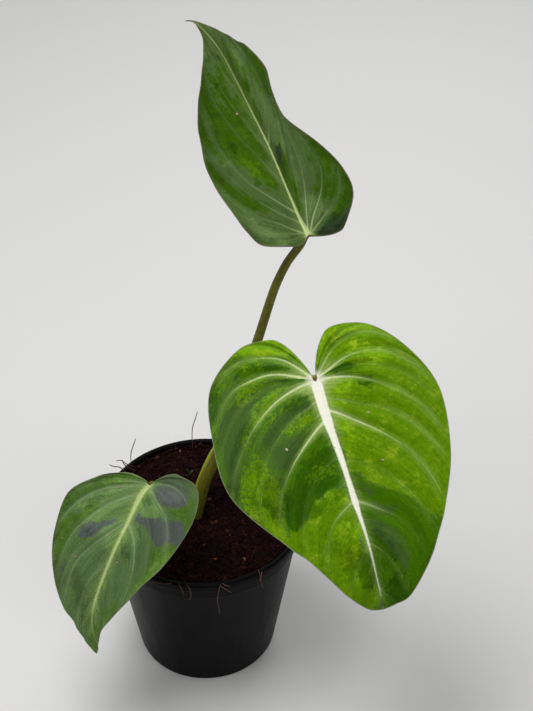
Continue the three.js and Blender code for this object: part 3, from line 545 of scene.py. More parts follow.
# Loose bits: chips on the soil with their half length, strands through given points, and specks on the blades
# (across, towards the tip, half length).
CHIPS = [
    (2.6, 7.5, 103.6, 2.6), (7.6, -38.1, 103.2, 1.5), (24.6, -38.1, 103.2, 1.4), (-15.8, 50, 103.2, 1.4),
    (-3.3, -7.8, 103.6, 1.2), (1.4, -27.4, 103.3, 1), (16, -20, 103.4, 1.1), (-20, 22, 103.4, 1.2),
]
STRAYS = [
    [(-7.9, 51, 103), (-8.5, 56, 108), (-8.2, 60, 113.5), (-6.3, 63, 118.5), (-5, 66, 122)],
    [(-45, 40, 103), (-45, 43.5, 107.5), (-43.5, 46.5, 111.5), (-42, 49, 115)],
    [(-41.7, 36.2, 103), (-46.4, 35.7, 105.6), (-50.9, 39.2, 105.8), (-53.8, 38.3, 106)],
    [(-40.8, 32.8, 103), (-45.6, 33.2, 105.5), (-48.8, 35.7, 106.2), (-50.3, 40.1, 105.8)],
    [(-47, 30, 104.5), (-51, 33, 106), (-54.5, 33.5, 106.2), (-58, 36, 105.4)],
    [(-27, -56.5, 105.2), (-23.1, -57.7, 105.4), (-19.2, -58.4, 105.4), (-15.3, -57.7, 105.2)],
    [(-12, -57.5, 105.2), (-10.6, -59.9, 104.8), (-9.3, -60.7, 101), (-8.6, -60.6, 97.8)],
    [(-7.5, -58.5, 105.3), (-5.4, -60.8, 103.5), (-4.9, -61, 98), (-6.5, -60.9, 94.3)],
    [(11.8, -57.8, 105.3), (10.7, -60.5, 103), (9.7, -60.6, 94), (10.4, -60.4, 86.8), (10.8, -60.2, 81.6)],
    [(10.8, -59.3, 105.3), (13.5, -60.3, 104), (16.2, -60, 101), (17.8, -59.6, 99.6)],
    [(12.4, -58, 105.4), (14.6, -59.4, 105.2), (16.8, -59.2, 104.4)],
    [(32.3, -47.6, 105.2), (33.4, -50.8, 104.2), (34.2, -51, 98), (35, -50.4, 92.8)],
    [(34.5, -48.6, 105.2), (33.9, -51, 103), (33.1, -51.6, 99.4)],
]
SPRIG = [
    [(-9.3, 29.6, 102.5), (-9.6, 30, 105), (-11, 30.8, 107)],
    [(-9.3, 29.6, 102.5), (-8.6, 29.4, 105), (-7.8, 30.4, 106.6)],
    [(-9.6, 29.2, 102.5), (-10.4, 28.4, 104), (-11.8, 28.2, 104.6)],
    [(-9, 29.8, 102.5), (-8, 31, 104), (-7.2, 32.4, 104.4)],
]
SPECKS = {
    "leaf_large": [(24, 31, 1.1), (-21, 24, 0.8), (-21, 49, 0.8), (0, 36, 0.5), (14, -5, 0.6)],
    "leaf_small": [(15, 7, 1), (26, 50, 0.7), (35, 43, 0.5), (4, 46, 0.6)],
    "leaf_top": [(-3, 76, 1)],
}

# Soil: its grid, and the outline of its sides and bottom as (radius, height).
SOIL_SIDES = 420
SOIL_RINGS = 112
SOIL_WALL = ((55.8, 91.8), (53.8, 90.3), (40.3, 3.8), (0, 3.8))

# Loose coir: fibres as (name, count, lengths, radii, lifts), and crumbs as (name, count, sizes, inner radius,
# rise). Then the radii of single strands, and the half sizes of chips and specks against their half length.
FIBRES = (
    ("coir_threads", 2200, (2, 7), (0.05, 0.13), (-0.2, 0.5)),
    ("coir_strands", 130, (5, 14), (0.08, 0.16), (0.1, 1.1)),
)
CRUMBS = (
    ("coir_crumbs", 2200, (0.5, 1.9), 0, 0.2),
    ("coir_edge_crumbs", 900, (0.5, 1.5), SOIL_EDGE - 2.2, 1.5),
)
STRAY_RADIUS = 0.28
SPRIG_RADIUS = 0.3
CHIP_SHAPE = (1, 0.45, 0.3)
SPECK_SHAPE = (1, 0.6, 0.5)

# Noises of a blade's skin: the stretch along its veins, or 0 where it is even all round, then the scale, the
# detail and the roughness.
BLADE_NOISES = {
    "streak": (0.06, 0.8, 3.0, 0.6), "stripe": (0.1, 0.28, 3.0, 0.6), "thread": (0.03, 2.6, 2.0, 0.5),
    "scratch": (0.6, 0.9, 5.0, 0.75), "spots": (0.6, 0.5, 1.0, 0.5), "tatter": (0.3, 0.55, 5.0, 0.7),
    "mottle": (0, 0.13, 4.0, 0.65), "vary": (0, 0.34, 4.0, 0.65), "grain": (0, 1.1, 4.0, 0.7),
    "cells": (0, 3.6, 2.0, 0.6), "crinkle": (0, 0.5, 5.0, 0.65), "crumple": (0, 0.17, 4.0, 0.6),
}
# What is painted on a blade's points. A field's socket has its name, with capitals and without its dashes.
BLADE_FIELDS = (
    "line", "spacing", "line_width", "line_gain", "band", "band_width", "off_rib", "rib_gain", "rib_glow", "edge",
    "under", "hub", *(f"{kind}_depth" for kind in PATCH_KINDS),
)
# Looks of each blade. Colours: the ground and its paler colour under painted light; the lime patches with deep,
# bright and dark mottles; the grey patches; the pale lines with a soft band beside them; the rib and the glow
# beside it; the margin and the underside. Numbers: the strength of fresh and dull streaks; how soft and how ragged
# the patches' edges are, and how far lime grows past its outlines; the size of the star at the hub; the strength
# of the grain; and how soft the rib's edge is.
BLADE_LOOKS = {
    "leaf_large": {
        "Ground": (0.064, 0.148, 0.014), "Painted Light Ground": (0.140, 0.240, 0.044), "Lime": (0.122, 0.248, 0.001),
        "Deep": (0.082, 0.198, 0.001), "Bright": (0.210, 0.335, 0.010), "Dark": (0.050, 0.138, 0.001),
        "Grey": (0.052, 0.102, 0.020), "Pale": (0.60, 0.68, 0.36), "Soft": (0.23, 0.35, 0.075),
        "Rib": (0.88, 0.86, 0.72), "Glow": (0.36, 0.46, 0.14), "Margin": (0.26, 0.27, 0.17),
        "Back": (0.20, 0.30, 0.09), "Streaks": 0.45, "Blur": 0.4, "Wander": 0.85, "Grow": 0.0, "Star": 5.0,
        "Grain": 1.0, "Rib Blur": 0.42,
    },
    "leaf_small": {
        "Ground": (0.086, 0.148, 0.048), "Painted Light Ground": (0.130, 0.215, 0.060), "Lime": (0.072, 0.152, 0.014),
        "Deep": (0.058, 0.124, 0.018), "Bright": (0.105, 0.188, 0.030), "Dark": (0.080, 0.098, 0.084),
        "Grey": (0.070, 0.098, 0.060), "Pale": (0.32, 0.42, 0.21), "Soft": (0.185, 0.265, 0.120),
        "Rib": (0.50, 0.60, 0.25), "Glow": (0.25, 0.37, 0.07), "Margin": (0.19, 0.18, 0.13),
        "Back": (0.17, 0.25, 0.09), "Streaks": 0.25, "Blur": 2.2, "Wander": 0.8, "Grow": 0.6, "Star": 2.4,
        "Grain": 1.15, "Rib Blur": 0.75,
    },
    "leaf_top": {
        "Ground": (0.064, 0.112, 0.028), "Painted Light Ground": (0.110, 0.170, 0.055), "Lime": (0.034, 0.088, 0.001),
        "Deep": (0.028, 0.074, 0.001), "Bright": (0.052, 0.115, 0.002), "Dark": (0.034, 0.058, 0.022),
        "Grey": (0.060, 0.090, 0.040), "Pale": (0.34, 0.44, 0.17), "Soft": (0.092, 0.145, 0.056),
        "Rib": (0.47, 0.56, 0.24), "Glow": (0.130, 0.195, 0.060), "Margin": (0.20, 0.13, 0.12),
        "Back": (0.15, 0.23, 0.09), "Streaks": 0.25, "Blur": 2.2, "Wander": 0.7, "Grow": 1.6, "Star": 2.4,
        "Grain": 0.85, "Rib Blur": 0.4,
    },
}
# The brown notch where the midrib starts.
NOTCH = (0.10, 0.042, 0.026, 1)

# Looks of the petioles' red tops, the rhizome and the pot.
PETIOLE_RED = (0.07, 0.045, 0.018)
RHIZOME_LOOKS = {
    "Skin": (0.12, 0.09, 0.035), "Fresh": (0.2, 0.17, 0.07), "Red": (0.11, 0.045, 0.02),
    "Redness": 0.0, "Up": 40.0, "To Top": 40.0,
}
POT_LOOKS = {"Body": (0.0012, 0.0010, 0.0014), "Dust": (0.016, 0.012, 0.011)}
# Soil and loose bits: their pith, their fibre and their bright bits.
COIR = ((0.0095, 0.0018, 0.0026), (0.027, 0.0072, 0.0066), (0.066, 0.021, 0.014))
LOOSE_LOOKS = {
    "soil": COIR, "loose_coir": COIR,
    "coir_chip": ((0.05, 0.018, 0.008), (0.1, 0.035, 0.015), (0.2, 0.075, 0.03)),
    "coir_stray": ((0.045, 0.018, 0.015), (0.085, 0.036, 0.028), (0.15, 0.06, 0.036)),
    "moss": ((0.03, 0.06, 0.01), (0.04, 0.09, 0.012), (0.06, 0.12, 0.02)),
    "speck": ((0.6, 0.52, 0.42), (0.75, 0.7, 0.6), (0.62, 0.28, 0.22)),
}
# Gloss that is the same all over a surface.
VELVET = {"Sheen Weight": 0.005, "Sheen Roughness": 0.5, "IOR": 1.4, "Specular IOR Level": 0.03}
PETIOLE_GLOSS = {"IOR": 1.45, "Specular IOR Level": 0.2}
COIR_GLOSS = {"IOR": 1.35, "Specular IOR Level": 0.12}
POT_GLOSS = {"IOR": 1.45, "Specular IOR Level": 0.06}
DULL_COIR = ("soil", "loose_coir", "coir_chip")

# Studio, in metres and watts: lights as (name, place, size, power), and where they point.
LIGHTS = (
    ("key", (-0.3, -0.1, 1.35), 0.7, 12), ("fill", (0.7, -0.9, 0.9), 0.9, 3.5), ("back", (0.3, 0.9, 0.9), 0.8, 4),
)
LIGHT_TARGET = (0.02, 0, 0.2)
FLOOR_REACH = 4.0
FLOOR_COLOUR = (0.72, 0.71, 0.69, 1)
FLOOR_ROUGHNESS = 0.8
WORLD_COLOUR = (0.92, 0.95, 1, 1)
WORLD_STRENGTH = 0.28


def catmull(points, at):
    """Points on the uniform Catmull-Rom curve through the given ones, whose ends are reflected."""
    p = np.asarray(points, float)
    p = np.vstack([2 * p[0] - p[1], p, 2 * p[-1] - p[-2]])
    first = np.clip(np.floor(at).astype(int), 0, len(p) - 4)
    w = (at - first)[..., None]
    a, b, c, d = p[first], p[first + 1], p[first + 2], p[first + 3]
    return 0.5 * (2 * b + (c - a) * w + (2 * a - 5 * b + 4 * c - d) * w ** 2 + (3 * b - 3 * c + d - a) * w ** 3)


def unit(v):
    """Each vector divided by its length."""
    return v / np.maximum(np.linalg.norm(v, axis=-1, keepdims=True), 1e-12)


def smooth(value, low, high):
    """Runs from 0 at low to 1 at high with level ends: w squared times (3 - 2w)."""
    w = np.clip((value - low) / (high - low), 0, 1)
    return w * w * (3 - 2 * w)


def lattice_noise(x, y, size, seed):
    """Soft noise from -1 to 1: random heights on a square lattice of the given size, eased between them."""
    heights = np.random.default_rng(seed).uniform(-1, 1, (NOISE_CELLS, NOISE_CELLS))
    column, row = np.floor(x / size).astype(int), np.floor(y / size).astype(int)
    u, v = smooth(x / size - column, 0, 1), smooth(y / size - row, 0, 1)
    corner = lambda i, j: heights[(row + j) % NOISE_CELLS, (column + i) % NOISE_CELLS]
    near = corner(0, 0) * (1 - u) + corner(1, 0) * u
    far = corner(0, 1) * (1 - u) + corner(1, 1) * u
    return near * (1 - v) + far * v


def distance_to_line(points, line):
    """Distance from each flat point to a line of many short legs, and the share of the legs at the nearest."""
    start, leg = line[:-1], line[1:] - line[:-1]
    best = np.full(len(points), 1e9)
    share = np.zeros(len(points))
    for k, (a, d) in enumerate(zip(start, leg)):
        w = np.clip(((points - a) @ d) / max(d @ d, 1e-12), 0, 1)
        gap = np.linalg.norm(points - a - w[:, None] * d, axis=1)
        closer = gap < best
        best[closer] = gap[closer]
        share[closer] = (k + w[closer]) / len(leg)
    return best, share


def depth_in_outline(points, outline):
    """Distance from each flat point to an outline, above 0 inside it and below 0 outside."""
    ring = np.array([*outline, outline[0]], float)
    gap, _ = distance_to_line(points, ring)
    a, b = ring[:-1], ring[1:]
    x, y = points[:, :1], points[:, 1:]
    rise = np.where(a[:, 1] == b[:, 1], 1e-9, b[:, 1] - a[:, 1])
    spans = (a[:, 1] > y) != (b[:, 1] > y)
    crossing = x < (b[:, 0] - a[:, 0]) * (y - a[:, 1]) / rise + a[:, 0]
    inside = (spans & crossing).sum(1) % 2 == 1
    return np.where(inside, gap, -gap)


def sheet(points, fields=None, maps=None, flip=False, closed=False):
    """One skin of quads over a grid of points, joined round from its last column to its first if closed."""
    rows, columns = points.shape[:2]
    index = np.arange(rows * columns).reshape(rows, columns)
    if closed:
        index = np.hstack([index, index[:, :1]])
    quads = np.stack([index[:-1, :-1], index[:-1, 1:], index[1:, 1:], index[1:, :-1]], -1).reshape(-1, 4)
    flat = lambda table: {k: np.asarray(v, float).reshape(rows * columns, -1) for k, v in (table or {}).items()}
    return {
        "points": points.reshape(-1, 3), "quads": quads[:, ::-1] if flip else quads,
        "fields": flat(fields), "maps": flat(maps),
    }


def write_piece(name, skins, material, slot, replaces=()):
    """Writes one mesh object from skins, with points that share a place welded and lost faces dropped."""
    starts = np.cumsum([0] + [len(s["points"]) for s in skins[:-1]])
    points = np.concatenate([s["points"] for s in skins])
    quads = np.concatenate([s["quads"] + start for s, start in zip(skins, starts)])
    _, first, welded = np.unique(np.round(points / WELD).astype(np.int64), axis=0, return_index=True,
                                 return_inverse=True)
    corners = welded.reshape(-1)[quads]
    distinct = corners != np.roll(corners, -1, axis=1)
    folded = (corners[:, 0] == corners[:, 2]) | (corners[:, 1] == corners[:, 3])
    kept = (distinct.sum(1) >= 3) & ~folded
    loops, sources = corners[kept][distinct[kept]], quads[kept][distinct[kept]]
    sizes = distinct[kept].sum(1)
    mesh = bpy.data.meshes.new(name)
    mesh.vertices.add(len(first))
    mesh.vertices.foreach_set("co", (points[first] * MM).astype(np.float32).ravel())
    mesh.loops.add(len(loops))
    mesh.loops.foreach_set("vertex_index", loops.astype(np.int32))
    mesh.polygons.add(len(sizes))
    mesh.polygons.foreach_set("loop_start", (np.cumsum(sizes) - sizes).astype(np.int32))
    mesh.polygons.foreach_set("use_smooth", np.ones(len(sizes), bool))
    mesh.update(calc_edges=True)
    for key in skins[0]["fields"]:
        values = np.concatenate([s["fields"][key] for s in skins])[first]
        attribute = mesh.attributes.new(key, "FLOAT", "POINT")
        attribute.data.foreach_set("value", values.astype(np.float32).ravel())
    for key in skins[0]["maps"]:
        values = np.concatenate([s["maps"][key] for s in skins])[sources]
        mesh.uv_layers.new(name=key).data.foreach_set("uv", values.astype(np.float32).ravel())
    mesh.materials.append(material)
    piece = bpy.data.objects.new(name, mesh)
    bpy.context.scene.collection.objects.link(piece)
    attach(piece, "root")
    if replaces:
        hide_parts(*replaces)
    return piece


def blade_frame(blade):
    """A blade's junction and its directions: across it, towards its tip, and out of its upper face."""
    junction = np.array(blade["junction"], float)
    along = unit(np.array(blade["tip"], float) - junction)
    facing = np.array(blade["facing"], float)
    out = unit(facing - (facing @ along) * along)
    return junction, np.cross(along, out), along, out


def blade_middle(blade, vein, share, side):
    """Middle surface of one half: at each vein number the quadratic curve from the midrib over the bend to the
    margin, raised by a wave at the edge. The last veins stop short of the margin along a quarter ellipse, so
    that the end of each lobe is round."""
    root = catmull(blade["midrib"], np.minimum(vein, blade["junction_vein"]))
    past = np.maximum(0, 1 - (len(blade["margin"][side]) - 1 - vein) / LOBE_ROUND_VEINS)
    share = share * (1 - LOBE_ROUND_SHARE * (1 - np.sqrt(1 - past ** 2)))
    bend, margin = catmull(blade["bends"][side], vein), catmull(blade["margin"][side], vein)
    w = share[..., None]
    point = (1 - w) ** 2 * root + 2 * w * (1 - w) * bend + w * w * margin
    wave = blade["wave"] * share ** 3 * np.sin(2 * np.pi * WAVES_PER_VEIN * vein)
    point[..., 2] += wave * np.minimum(vein / VEINS_TO_FULL_WAVE, 1)
    return point


def line_index(blade, vein, share, side):
    """Runs evenly over a half from 0 at the tip, and is k on the k-th pale line. Each column has one share."""
    paths = np.array([np.broadcast_to(path, LINE_SHARES) for path, *_ in blade["lines"][side]], float)
    last = len(blade["margin"][side]) - 1
    index = np.empty_like(vein)
    for column, knots in enumerate(catmull(paths.T, share[0] * (LINE_SHARES - 1))):
        knots = np.maximum.accumulate(np.concatenate([[0], knots, [last]]))
        index[:, column] = np.interp(vein[:, column], knots, np.arange(len(knots)))
    return index


def spacing_of(surface, vein, share, index):
    """Millimetres on the surface from one line to the next: 1 over the length of the index's gradient."""
    per_vein = np.maximum(np.gradient(vein, axis=0), 1e-9)
    per_share = np.maximum(np.gradient(share, axis=1), 1e-9)
    a, b = np.gradient(surface, axis=0) / per_vein[..., None], np.gradient(surface, axis=1) / per_share[..., None]
    p, q = np.gradient(index, axis=0) / per_vein, np.gradient(index, axis=1) / per_share
    aa, ab, bb = (a * a).sum(-1), (a * b).sum(-1), (b * b).sum(-1)
    steep = (p * p * bb - 2 * p * q * ab + q * q * aa) / np.maximum(aa * bb - ab * ab, 1e-6)
    return 1 / np.sqrt(np.clip(steep, 1 / 30 ** 2, 1e4))


def blade_rows(last):
    """Vein numbers of the grid's rows: even, with more towards the back edge."""
    even = np.arange(last * ROWS_PER_VEIN + 1) / ROWS_PER_VEIN
    return np.unique(np.concatenate([even, last - np.array(BACK_ROWS)]))


def blade_columns():
    """Shares of the way from midrib to margin: an even run to the power 1.25, with more towards the margin."""
    inner = np.linspace(0, 1, COLUMNS) ** 1.25
    return np.unique(np.concatenate([inner, 1 - np.array(RIM_COLUMNS)]))


def outline_of(blade):
    """The blade's margin on its plane, from the back of one lobe round the tip to the other."""
    last = len(blade["margin"][1]) - 1
    along = np.linspace(0, last, 14 * last + 1)
    halves = [catmull(blade["margin"][side], along)[:, :2] for side in (-1, 1)]
    back = np.linspace(0, 1, 24)
    lobes = [blade_middle(blade, np.full(24, float(last)), back, side)[:, :2] for side in (-1, 1)]
    return np.concatenate([lobes[0], halves[0][::-1], halves[1][1:], lobes[1][::-1]])


def line_paint(blade, side, index, share):
    """From the nearest line at each point: its brightness, the share of it left past its reach, and the strength
    of the soft band that comes in there."""
    rows = np.array([NO_LINE, *(row[1:] for row in blade["lines"][side]), NO_LINE], float)
    gain, reach, band = np.moveaxis(rows[np.round(index).astype(int)], -1, 0)
    near = 1 - smooth(share, reach - 0.3, reach + 0.15)
    fade = near * (1 - 0.5 * np.clip(share / reach, 0, 1)) + 0.05 * (1 - smooth(share, 0.8, 1))
    far = smooth(share, 0.6 * reach, reach + 0.2) * (1 - smooth(share, 0.85, 1.02))
    return gain, fade, band * far


def patch_depths(blade, flat):
    """How deep each flat point lies in a patch of each kind, above 0 inside it, and at most the patches' reach."""
    depths = {}
    for kind in PATCH_KINDS:
        found = [depth_in_outline(flat, outline) for outline in blade["patches"].get(kind, [])]
        nearest = np.max([np.full(len(flat), -float(PATCH_REACH)), *found], axis=0)
        depths[f"{kind}_depth"] = np.minimum(nearest, PATCH_REACH)
    return depths


def blade_piece(blade, material):
    """The blade as one closed sheet: its upper and lower faces leave the middle surface by half the thickness,
    which falls to nothing in a quarter round at the margin. The skin swells between two lines by
    sin^2(pi index) 4 share (1 - share), and sinks by a bell curve along each line and by an eased dip along the
    rib. The lower face also carries the rib, in a half round, and the veins, in bell curves."""
    junction, across, along, out = blade_frame(blade)
    last = len(blade["margin"][1]) - 1
    outline = outline_of(blade)
    rib_line = catmull(blade["midrib"], np.linspace(0, blade["junction_vein"], RIB_LEGS))[:, :2]
    rib_vein, *rib_rows = np.array(blade["rib"], float).T
    vein, share = np.meshgrid(blade_rows(last), blade_columns(), indexing="ij")
    grid = vein.shape
    skins = []
    for side in (-1, 1):
        middle = blade_middle(blade, vein, share, side)
        flat = middle[..., :2].reshape(-1, 2)
        index = line_index(blade, vein, share, side)
        spacing = spacing_of(middle, vein, share, index)
        gain, fade, band = line_paint(blade, side, index, share)
        off_line = np.abs(index - np.round(index)) * spacing
        edge = distance_to_line(flat, outline)[0].reshape(grid)
        edge = np.where((share == 1) | (vein == last) | (vein == 0), 0, edge)
        off_rib, rib_share = (a.reshape(grid) for a in distance_to_line(flat, rib_line))
        half_rib, rib_gain, rib_glow = (
            np.interp(rib_share * blade["junction_vein"], rib_vein, row) for row in rib_rows)
        inside = np.clip(edge / EDGE_ROUND, 0, 1)
        half = BLADE_HALF * np.sqrt(1 - (1 - inside) ** 2)
        flow = np.stack([(side > 0) * FLOW_APART + index * blade["spread"][0], share * blade["spread"][1]], -1)
        swell = blade["swell"] * np.sin(np.pi * index) ** 2 * 4 * share * (1 - share)
        groove = GROOVE[0] * gain * fade * np.exp(-(off_line / GROOVE[1]) ** 2) * smooth(share, 0.02, 0.1)
        dip = RIB_DIP * smooth(off_rib, 5, 0.5) * smooth(edge, 0, 4)
        height, size, stretch = RIPPLE
        ripple = lattice_noise(flow[..., 0], flow[..., 1] / stretch, size, 5) * height * smooth(share, 0.05, 0.3)
        middle[..., 2] += swell + (ripple - groove - dip) * inside
        ridge = RIDGE[0] * gain * np.exp(-(off_line / RIDGE[1]) ** 2)
        rib = RIB_DEPTH * np.minimum(vein / blade["junction_vein"], 1) * np.sqrt(
            np.clip(1 - (off_rib / (RIB_BODY + 0.6 * half_rib)) ** 2, 0, 1))
        placed = lambda height: (junction + middle[..., :1] * across + middle[..., 1:2] * along
                                 + (middle[..., 2:] + height[..., None]) * out)
        fields = {
            "line": index, "spacing": spacing, "line_gain": gain * fade, "band": band,
            "line_width": blade["line_half_width"] * (0.7 + 1.6 * np.exp(-share / 0.13)),
            "band_width": 1.2 + 2.6 * share, "off_rib": off_rib - half_rib, "rib_gain": rib_gain,
            "rib_glow": rib_glow, "edge": edge,
            "hub": np.linalg.norm(flat - blade["midrib"][-1][:2], axis=1), **patch_depths(blade, flat),
        }
        upper, lower = placed(half), placed(-half - (rib + ridge) * smooth(edge, 0, 1.5))
        for face, points, flip in ((0, upper, side > 0), (1, lower, side < 0)):
            skins.append(sheet(points, {**fields, "under": np.full(grid, face)}, {"flow": flow}, flip))
        seam = np.stack([upper[-1], lower[-1]])
        seam_fields = {k: np.stack([np.reshape(v, grid)[-1]] * 2) for k, v in fields.items()}
        skins.append(sheet(seam, {**seam_fields, "under": np.zeros(seam.shape[:2])},
                           {"flow": np.stack([flow[-1]] * 2)}, side > 0))
    return write_piece(blade["name"], skins, material, blade["slot"], [blade["node"]])


def tubes(paths, radii, reference, fields=None, flow=(1, 1)):
    """Round skins along many paths at once: each ring stands square to its path, on the side that the reference
    direction gives. Radii are given for each path, step and side, and a radius of 0 closes an end."""
    strands, steps, _ = paths.shape
    sides = radii.shape[-1]
    tangent = unit(np.gradient(paths, axis=1))
    aside = unit(np.cross(tangent, np.broadcast_to(reference, paths.shape)))
    other = np.cross(tangent, aside)
    turn = 2 * np.pi * np.arange(sides) / sides
    rings = paths[:, :, None] + radii[..., None] * (
        np.cos(turn)[:, None] * aside[:, :, None] + np.sin(turn)[:, None] * other[:, :, None])
    leg = np.linalg.norm(np.diff(paths, axis=1), axis=-1)
    run = np.concatenate([np.zeros((strands, 1)), np.cumsum(leg, axis=1)], axis=1)
    one = np.arange(steps * sides).reshape(steps, sides)
    index = one + (np.arange(strands) * steps * sides)[:, None, None]
    index = np.concatenate([index, index[..., :1]], axis=2)
    quads = np.stack([index[:, :-1, :-1], index[:, :-1, 1:], index[:, 1:, 1:], index[:, 1:, :-1]], -1)
    count = strands * steps * sides
    spread = lambda v: np.broadcast_to(v, (strands, steps, sides)).reshape(count, 1)
    values = {k: spread(v) for k, v in (fields or {}).items()}
    around = np.stack([np.broadcast_to(turn * flow[0], (strands, steps, sides)),
                       np.broadcast_to(run[..., None] * flow[1], (strands, steps, sides))], -1)
    return {
        "points": rings.reshape(-1, 3), "quads": quads.reshape(-1, 4), "fields": values,
        "maps": {"flow": around.reshape(-1, 2)},
    }


def petiole_piece(node, petiole, material):
    """A petiole up to its blade along an even run of its route. Cosines of the turn give its section a flat side,
    a slight oval and fine ridges, and a bell curve swells its knee below the top."""
    out = blade_frame(petiole["blade"])[-1]
    route = [*petiole["route"][:-1], tuple(np.array(petiole["route"][-1]) - PETIOLE_GAP * out)]
    share = np.linspace(0, 1, PETIOLE_STEPS)
    path = catmull(route, share * (len(route) - 1))
    run = np.concatenate([[0], np.cumsum(np.linalg.norm(np.diff(path, axis=0), axis=1))])
    path = np.stack([np.interp(share * run[-1], run, path[:, k]) for k in range(3)], -1)
    radius = np.interp(share, [0, 0.5, 1], petiole["radii"])
    to_top = (1 - share) * run[-1]
    swell, place, length = KNEE
    radius = radius * (1 + swell * np.exp(-((to_top - place) / length) ** 2) - 0.16 * smooth(to_top, 3, 0))
    radius[[0, -1]] = 0
    turn = 2 * np.pi * np.arange(PETIOLE_SIDES) / PETIOLE_SIDES
    section = 1 - 0.05 * (1 + np.cos(turn)) ** 2 / 4 + 0.012 * np.cos(10 * turn) + 0.02 * np.cos(2 * turn)
    radii = (radius[:, None] * section)[None]
    fields = {"up": (share * run[-1])[None, :, None], "to_top": to_top[None, :, None]}
    skin = tubes(path[None], radii, (0.2, -1, 0.1), fields, (4, 1))
    return write_piece(node.replace("petiole", "stalk"), [skin], material, "petiole_skin", [node])


def soil_height(x, y):
    """Height of the solid's soil: a low dome with four shallow waves."""
    dome = SOIL_DOME * (1 - (x * x + y * y) / SOIL_EDGE ** 2)
    return SOIL_EDGE_HEIGHT + dome + sum(h * np.sin(a * x + b * y + c) for h, a, b, c in SOIL_WAVES)


def soil_surface(x, y):
    """The soil's height with its crumbs: noise of four sizes, the coarse ones pushed up into lumps."""
    coarse = lattice_noise(x, y, 7.3, 1)
    lumps = np.maximum(lattice_noise(x + 9, y, 3.1, 2), -0.3)
    fine = lattice_noise(x, y + 5, 1.5, 3)
    grains = lattice_noise(x + 3, y + 2, 0.8, 4)
    fall = 1 - smooth(np.hypot(x, y), SOIL_EDGE - 2, SOIL_EDGE)
    return soil_height(x, y) + (0.5 * coarse + 0.9 * lumps + 0.5 * fine + 0.3 * grains - 0.3) * fall


def soil_piece(material):
    """The soil as one closed body: its crumbly top in rings, then down the pot's wall and over the floor."""
    turn = 2 * np.pi * np.arange(SOIL_SIDES) / SOIL_SIDES
    radius = np.linspace(0, SOIL_EDGE, SOIL_RINGS)
    r, a = np.meshgrid(radius, turn, indexing="ij")
    x, y = r * np.sin(a), -r * np.cos(a)
    top = np.stack([x, y, soil_surface(x, y)], -1)
    wall = np.array(SOIL_WALL)
    r, a = np.meshgrid(wall[:, 0], turn, indexing="ij")
    low = np.stack([r * np.sin(a), -r * np.cos(a), np.broadcast_to(wall[:, 1:], r.shape)], -1)
    skin = sheet(np.concatenate([top, low]), closed=True, flip=True)
    return write_piece("coir_bed", [skin], material, "coir", ["soil"])


def rounded(corners, reach):
    """A line through corners, each eased by a quadratic curve that starts and ends at most reach from it."""
    p = np.asarray(corners, float)
    before, after = p[:-2] - p[1:-1], p[2:] - p[1:-1]
    cut = lambda leg: leg * np.minimum(reach / np.linalg.norm(leg, axis=1), 0.45)[:, None]
    w = np.linspace(0, 1, 5)[None, :, None]
    a, b, c = (p[1:-1] + cut(before))[:, None], p[1:-1][:, None], (p[1:-1] + cut(after))[:, None]
    eased = (1 - w) ** 2 * a + 2 * w * (1 - w) * b + w * w * c
    return np.concatenate([p[:1], eased.reshape(-1, 2), p[-1:]])


def revolved(profile):
    """A skin around the Z axis from (radius, height) points."""
    turn = 2 * np.pi * np.arange(POT_SIDES) / POT_SIDES
    r, z = profile[:, :1], np.repeat(profile[:, 1:], POT_SIDES, axis=1)
    return sheet(np.stack([r * np.sin(turn), -r * np.cos(turn), z], -1), closed=True)


def drained_floor(height, inner, outer, flip):
    """A flat ring with round holes: in each sector the skin is ruled from the hole's edge to the sector's."""
    per_sector = POT_SIDES // DRAIN_HOLES
    turn = 2 * np.pi * np.arange(per_sector + 1) / POT_SIDES
    arc = lambda radius, at: np.stack([radius * np.sin(at), -radius * np.cos(at)], -1)
    spokes = np.linspace(outer, inner, 9)
    outline = np.concatenate([
        arc(outer, turn)[:0:-1], arc(spokes, 0)[:-1], arc(inner, turn)[:-1], arc(spokes[::-1], turn[-1])[:-1],
    ])
    middle = arc(DRAIN_CIRCLE, turn[-1] / 2)
    circle = middle + DRAIN_RADIUS * unit(outline - middle)
    w = (np.linspace(0, 1, 6) ** 1.5)[:, None, None]
    flat = (1 - w) * circle + w * outline
    skins = []
    for k in range(DRAIN_HOLES):
        s, c = np.sin(k * turn[-1]), np.cos(k * turn[-1])
        points = np.stack([c * flat[..., 0] - s * flat[..., 1], s * flat[..., 0] + c * flat[..., 1],
                           np.full(flat.shape[:2], height)], -1)
        skins.append((sheet(points, closed=True, flip=flip), points[0]))
    return skins


def pot_piece(material):
    """The pot: its wall's closed outline turned about the axis, and a floor with drain holes."""
    pad, ring = 13.5, 35
    outer = rounded([(0, 0), (12, 0), (pad, POT_FLOOR[0])], 0.8)
    shell = rounded([
        (ring, POT_FLOOR[0]), (36, 0), (41.2, 0), (42, 0.8), (55.5, 90), (57.5, 91.5), (58, 100.6), (59.2, 100.6),
        (59.3, 100), (60, 100.1), (60, 104.2), (59.3, 105), (57.2, 105), (56.5, 104), (56.1, 91.5), (54.1, 90),
        (40.6, POT_FLOOR[1]), (ring, POT_FLOOR[1]),
    ], 0.6)
    skins = [revolved(outer), revolved(shell), revolved(np.array([(pad, POT_FLOOR[1]), (0, POT_FLOOR[1])]))]
    lower = drained_floor(POT_FLOOR[0], pad, ring, False)
    upper = drained_floor(POT_FLOOR[1], pad, ring, True)
    skins += [skin for skin, _ in lower + upper]
    skins += [sheet(np.stack([a, b]), closed=True, flip=True) for (_, a), (_, b) in zip(lower, upper)]
    return write_piece("pot_cup", skins, material, "pot_plastic", ["pot"])


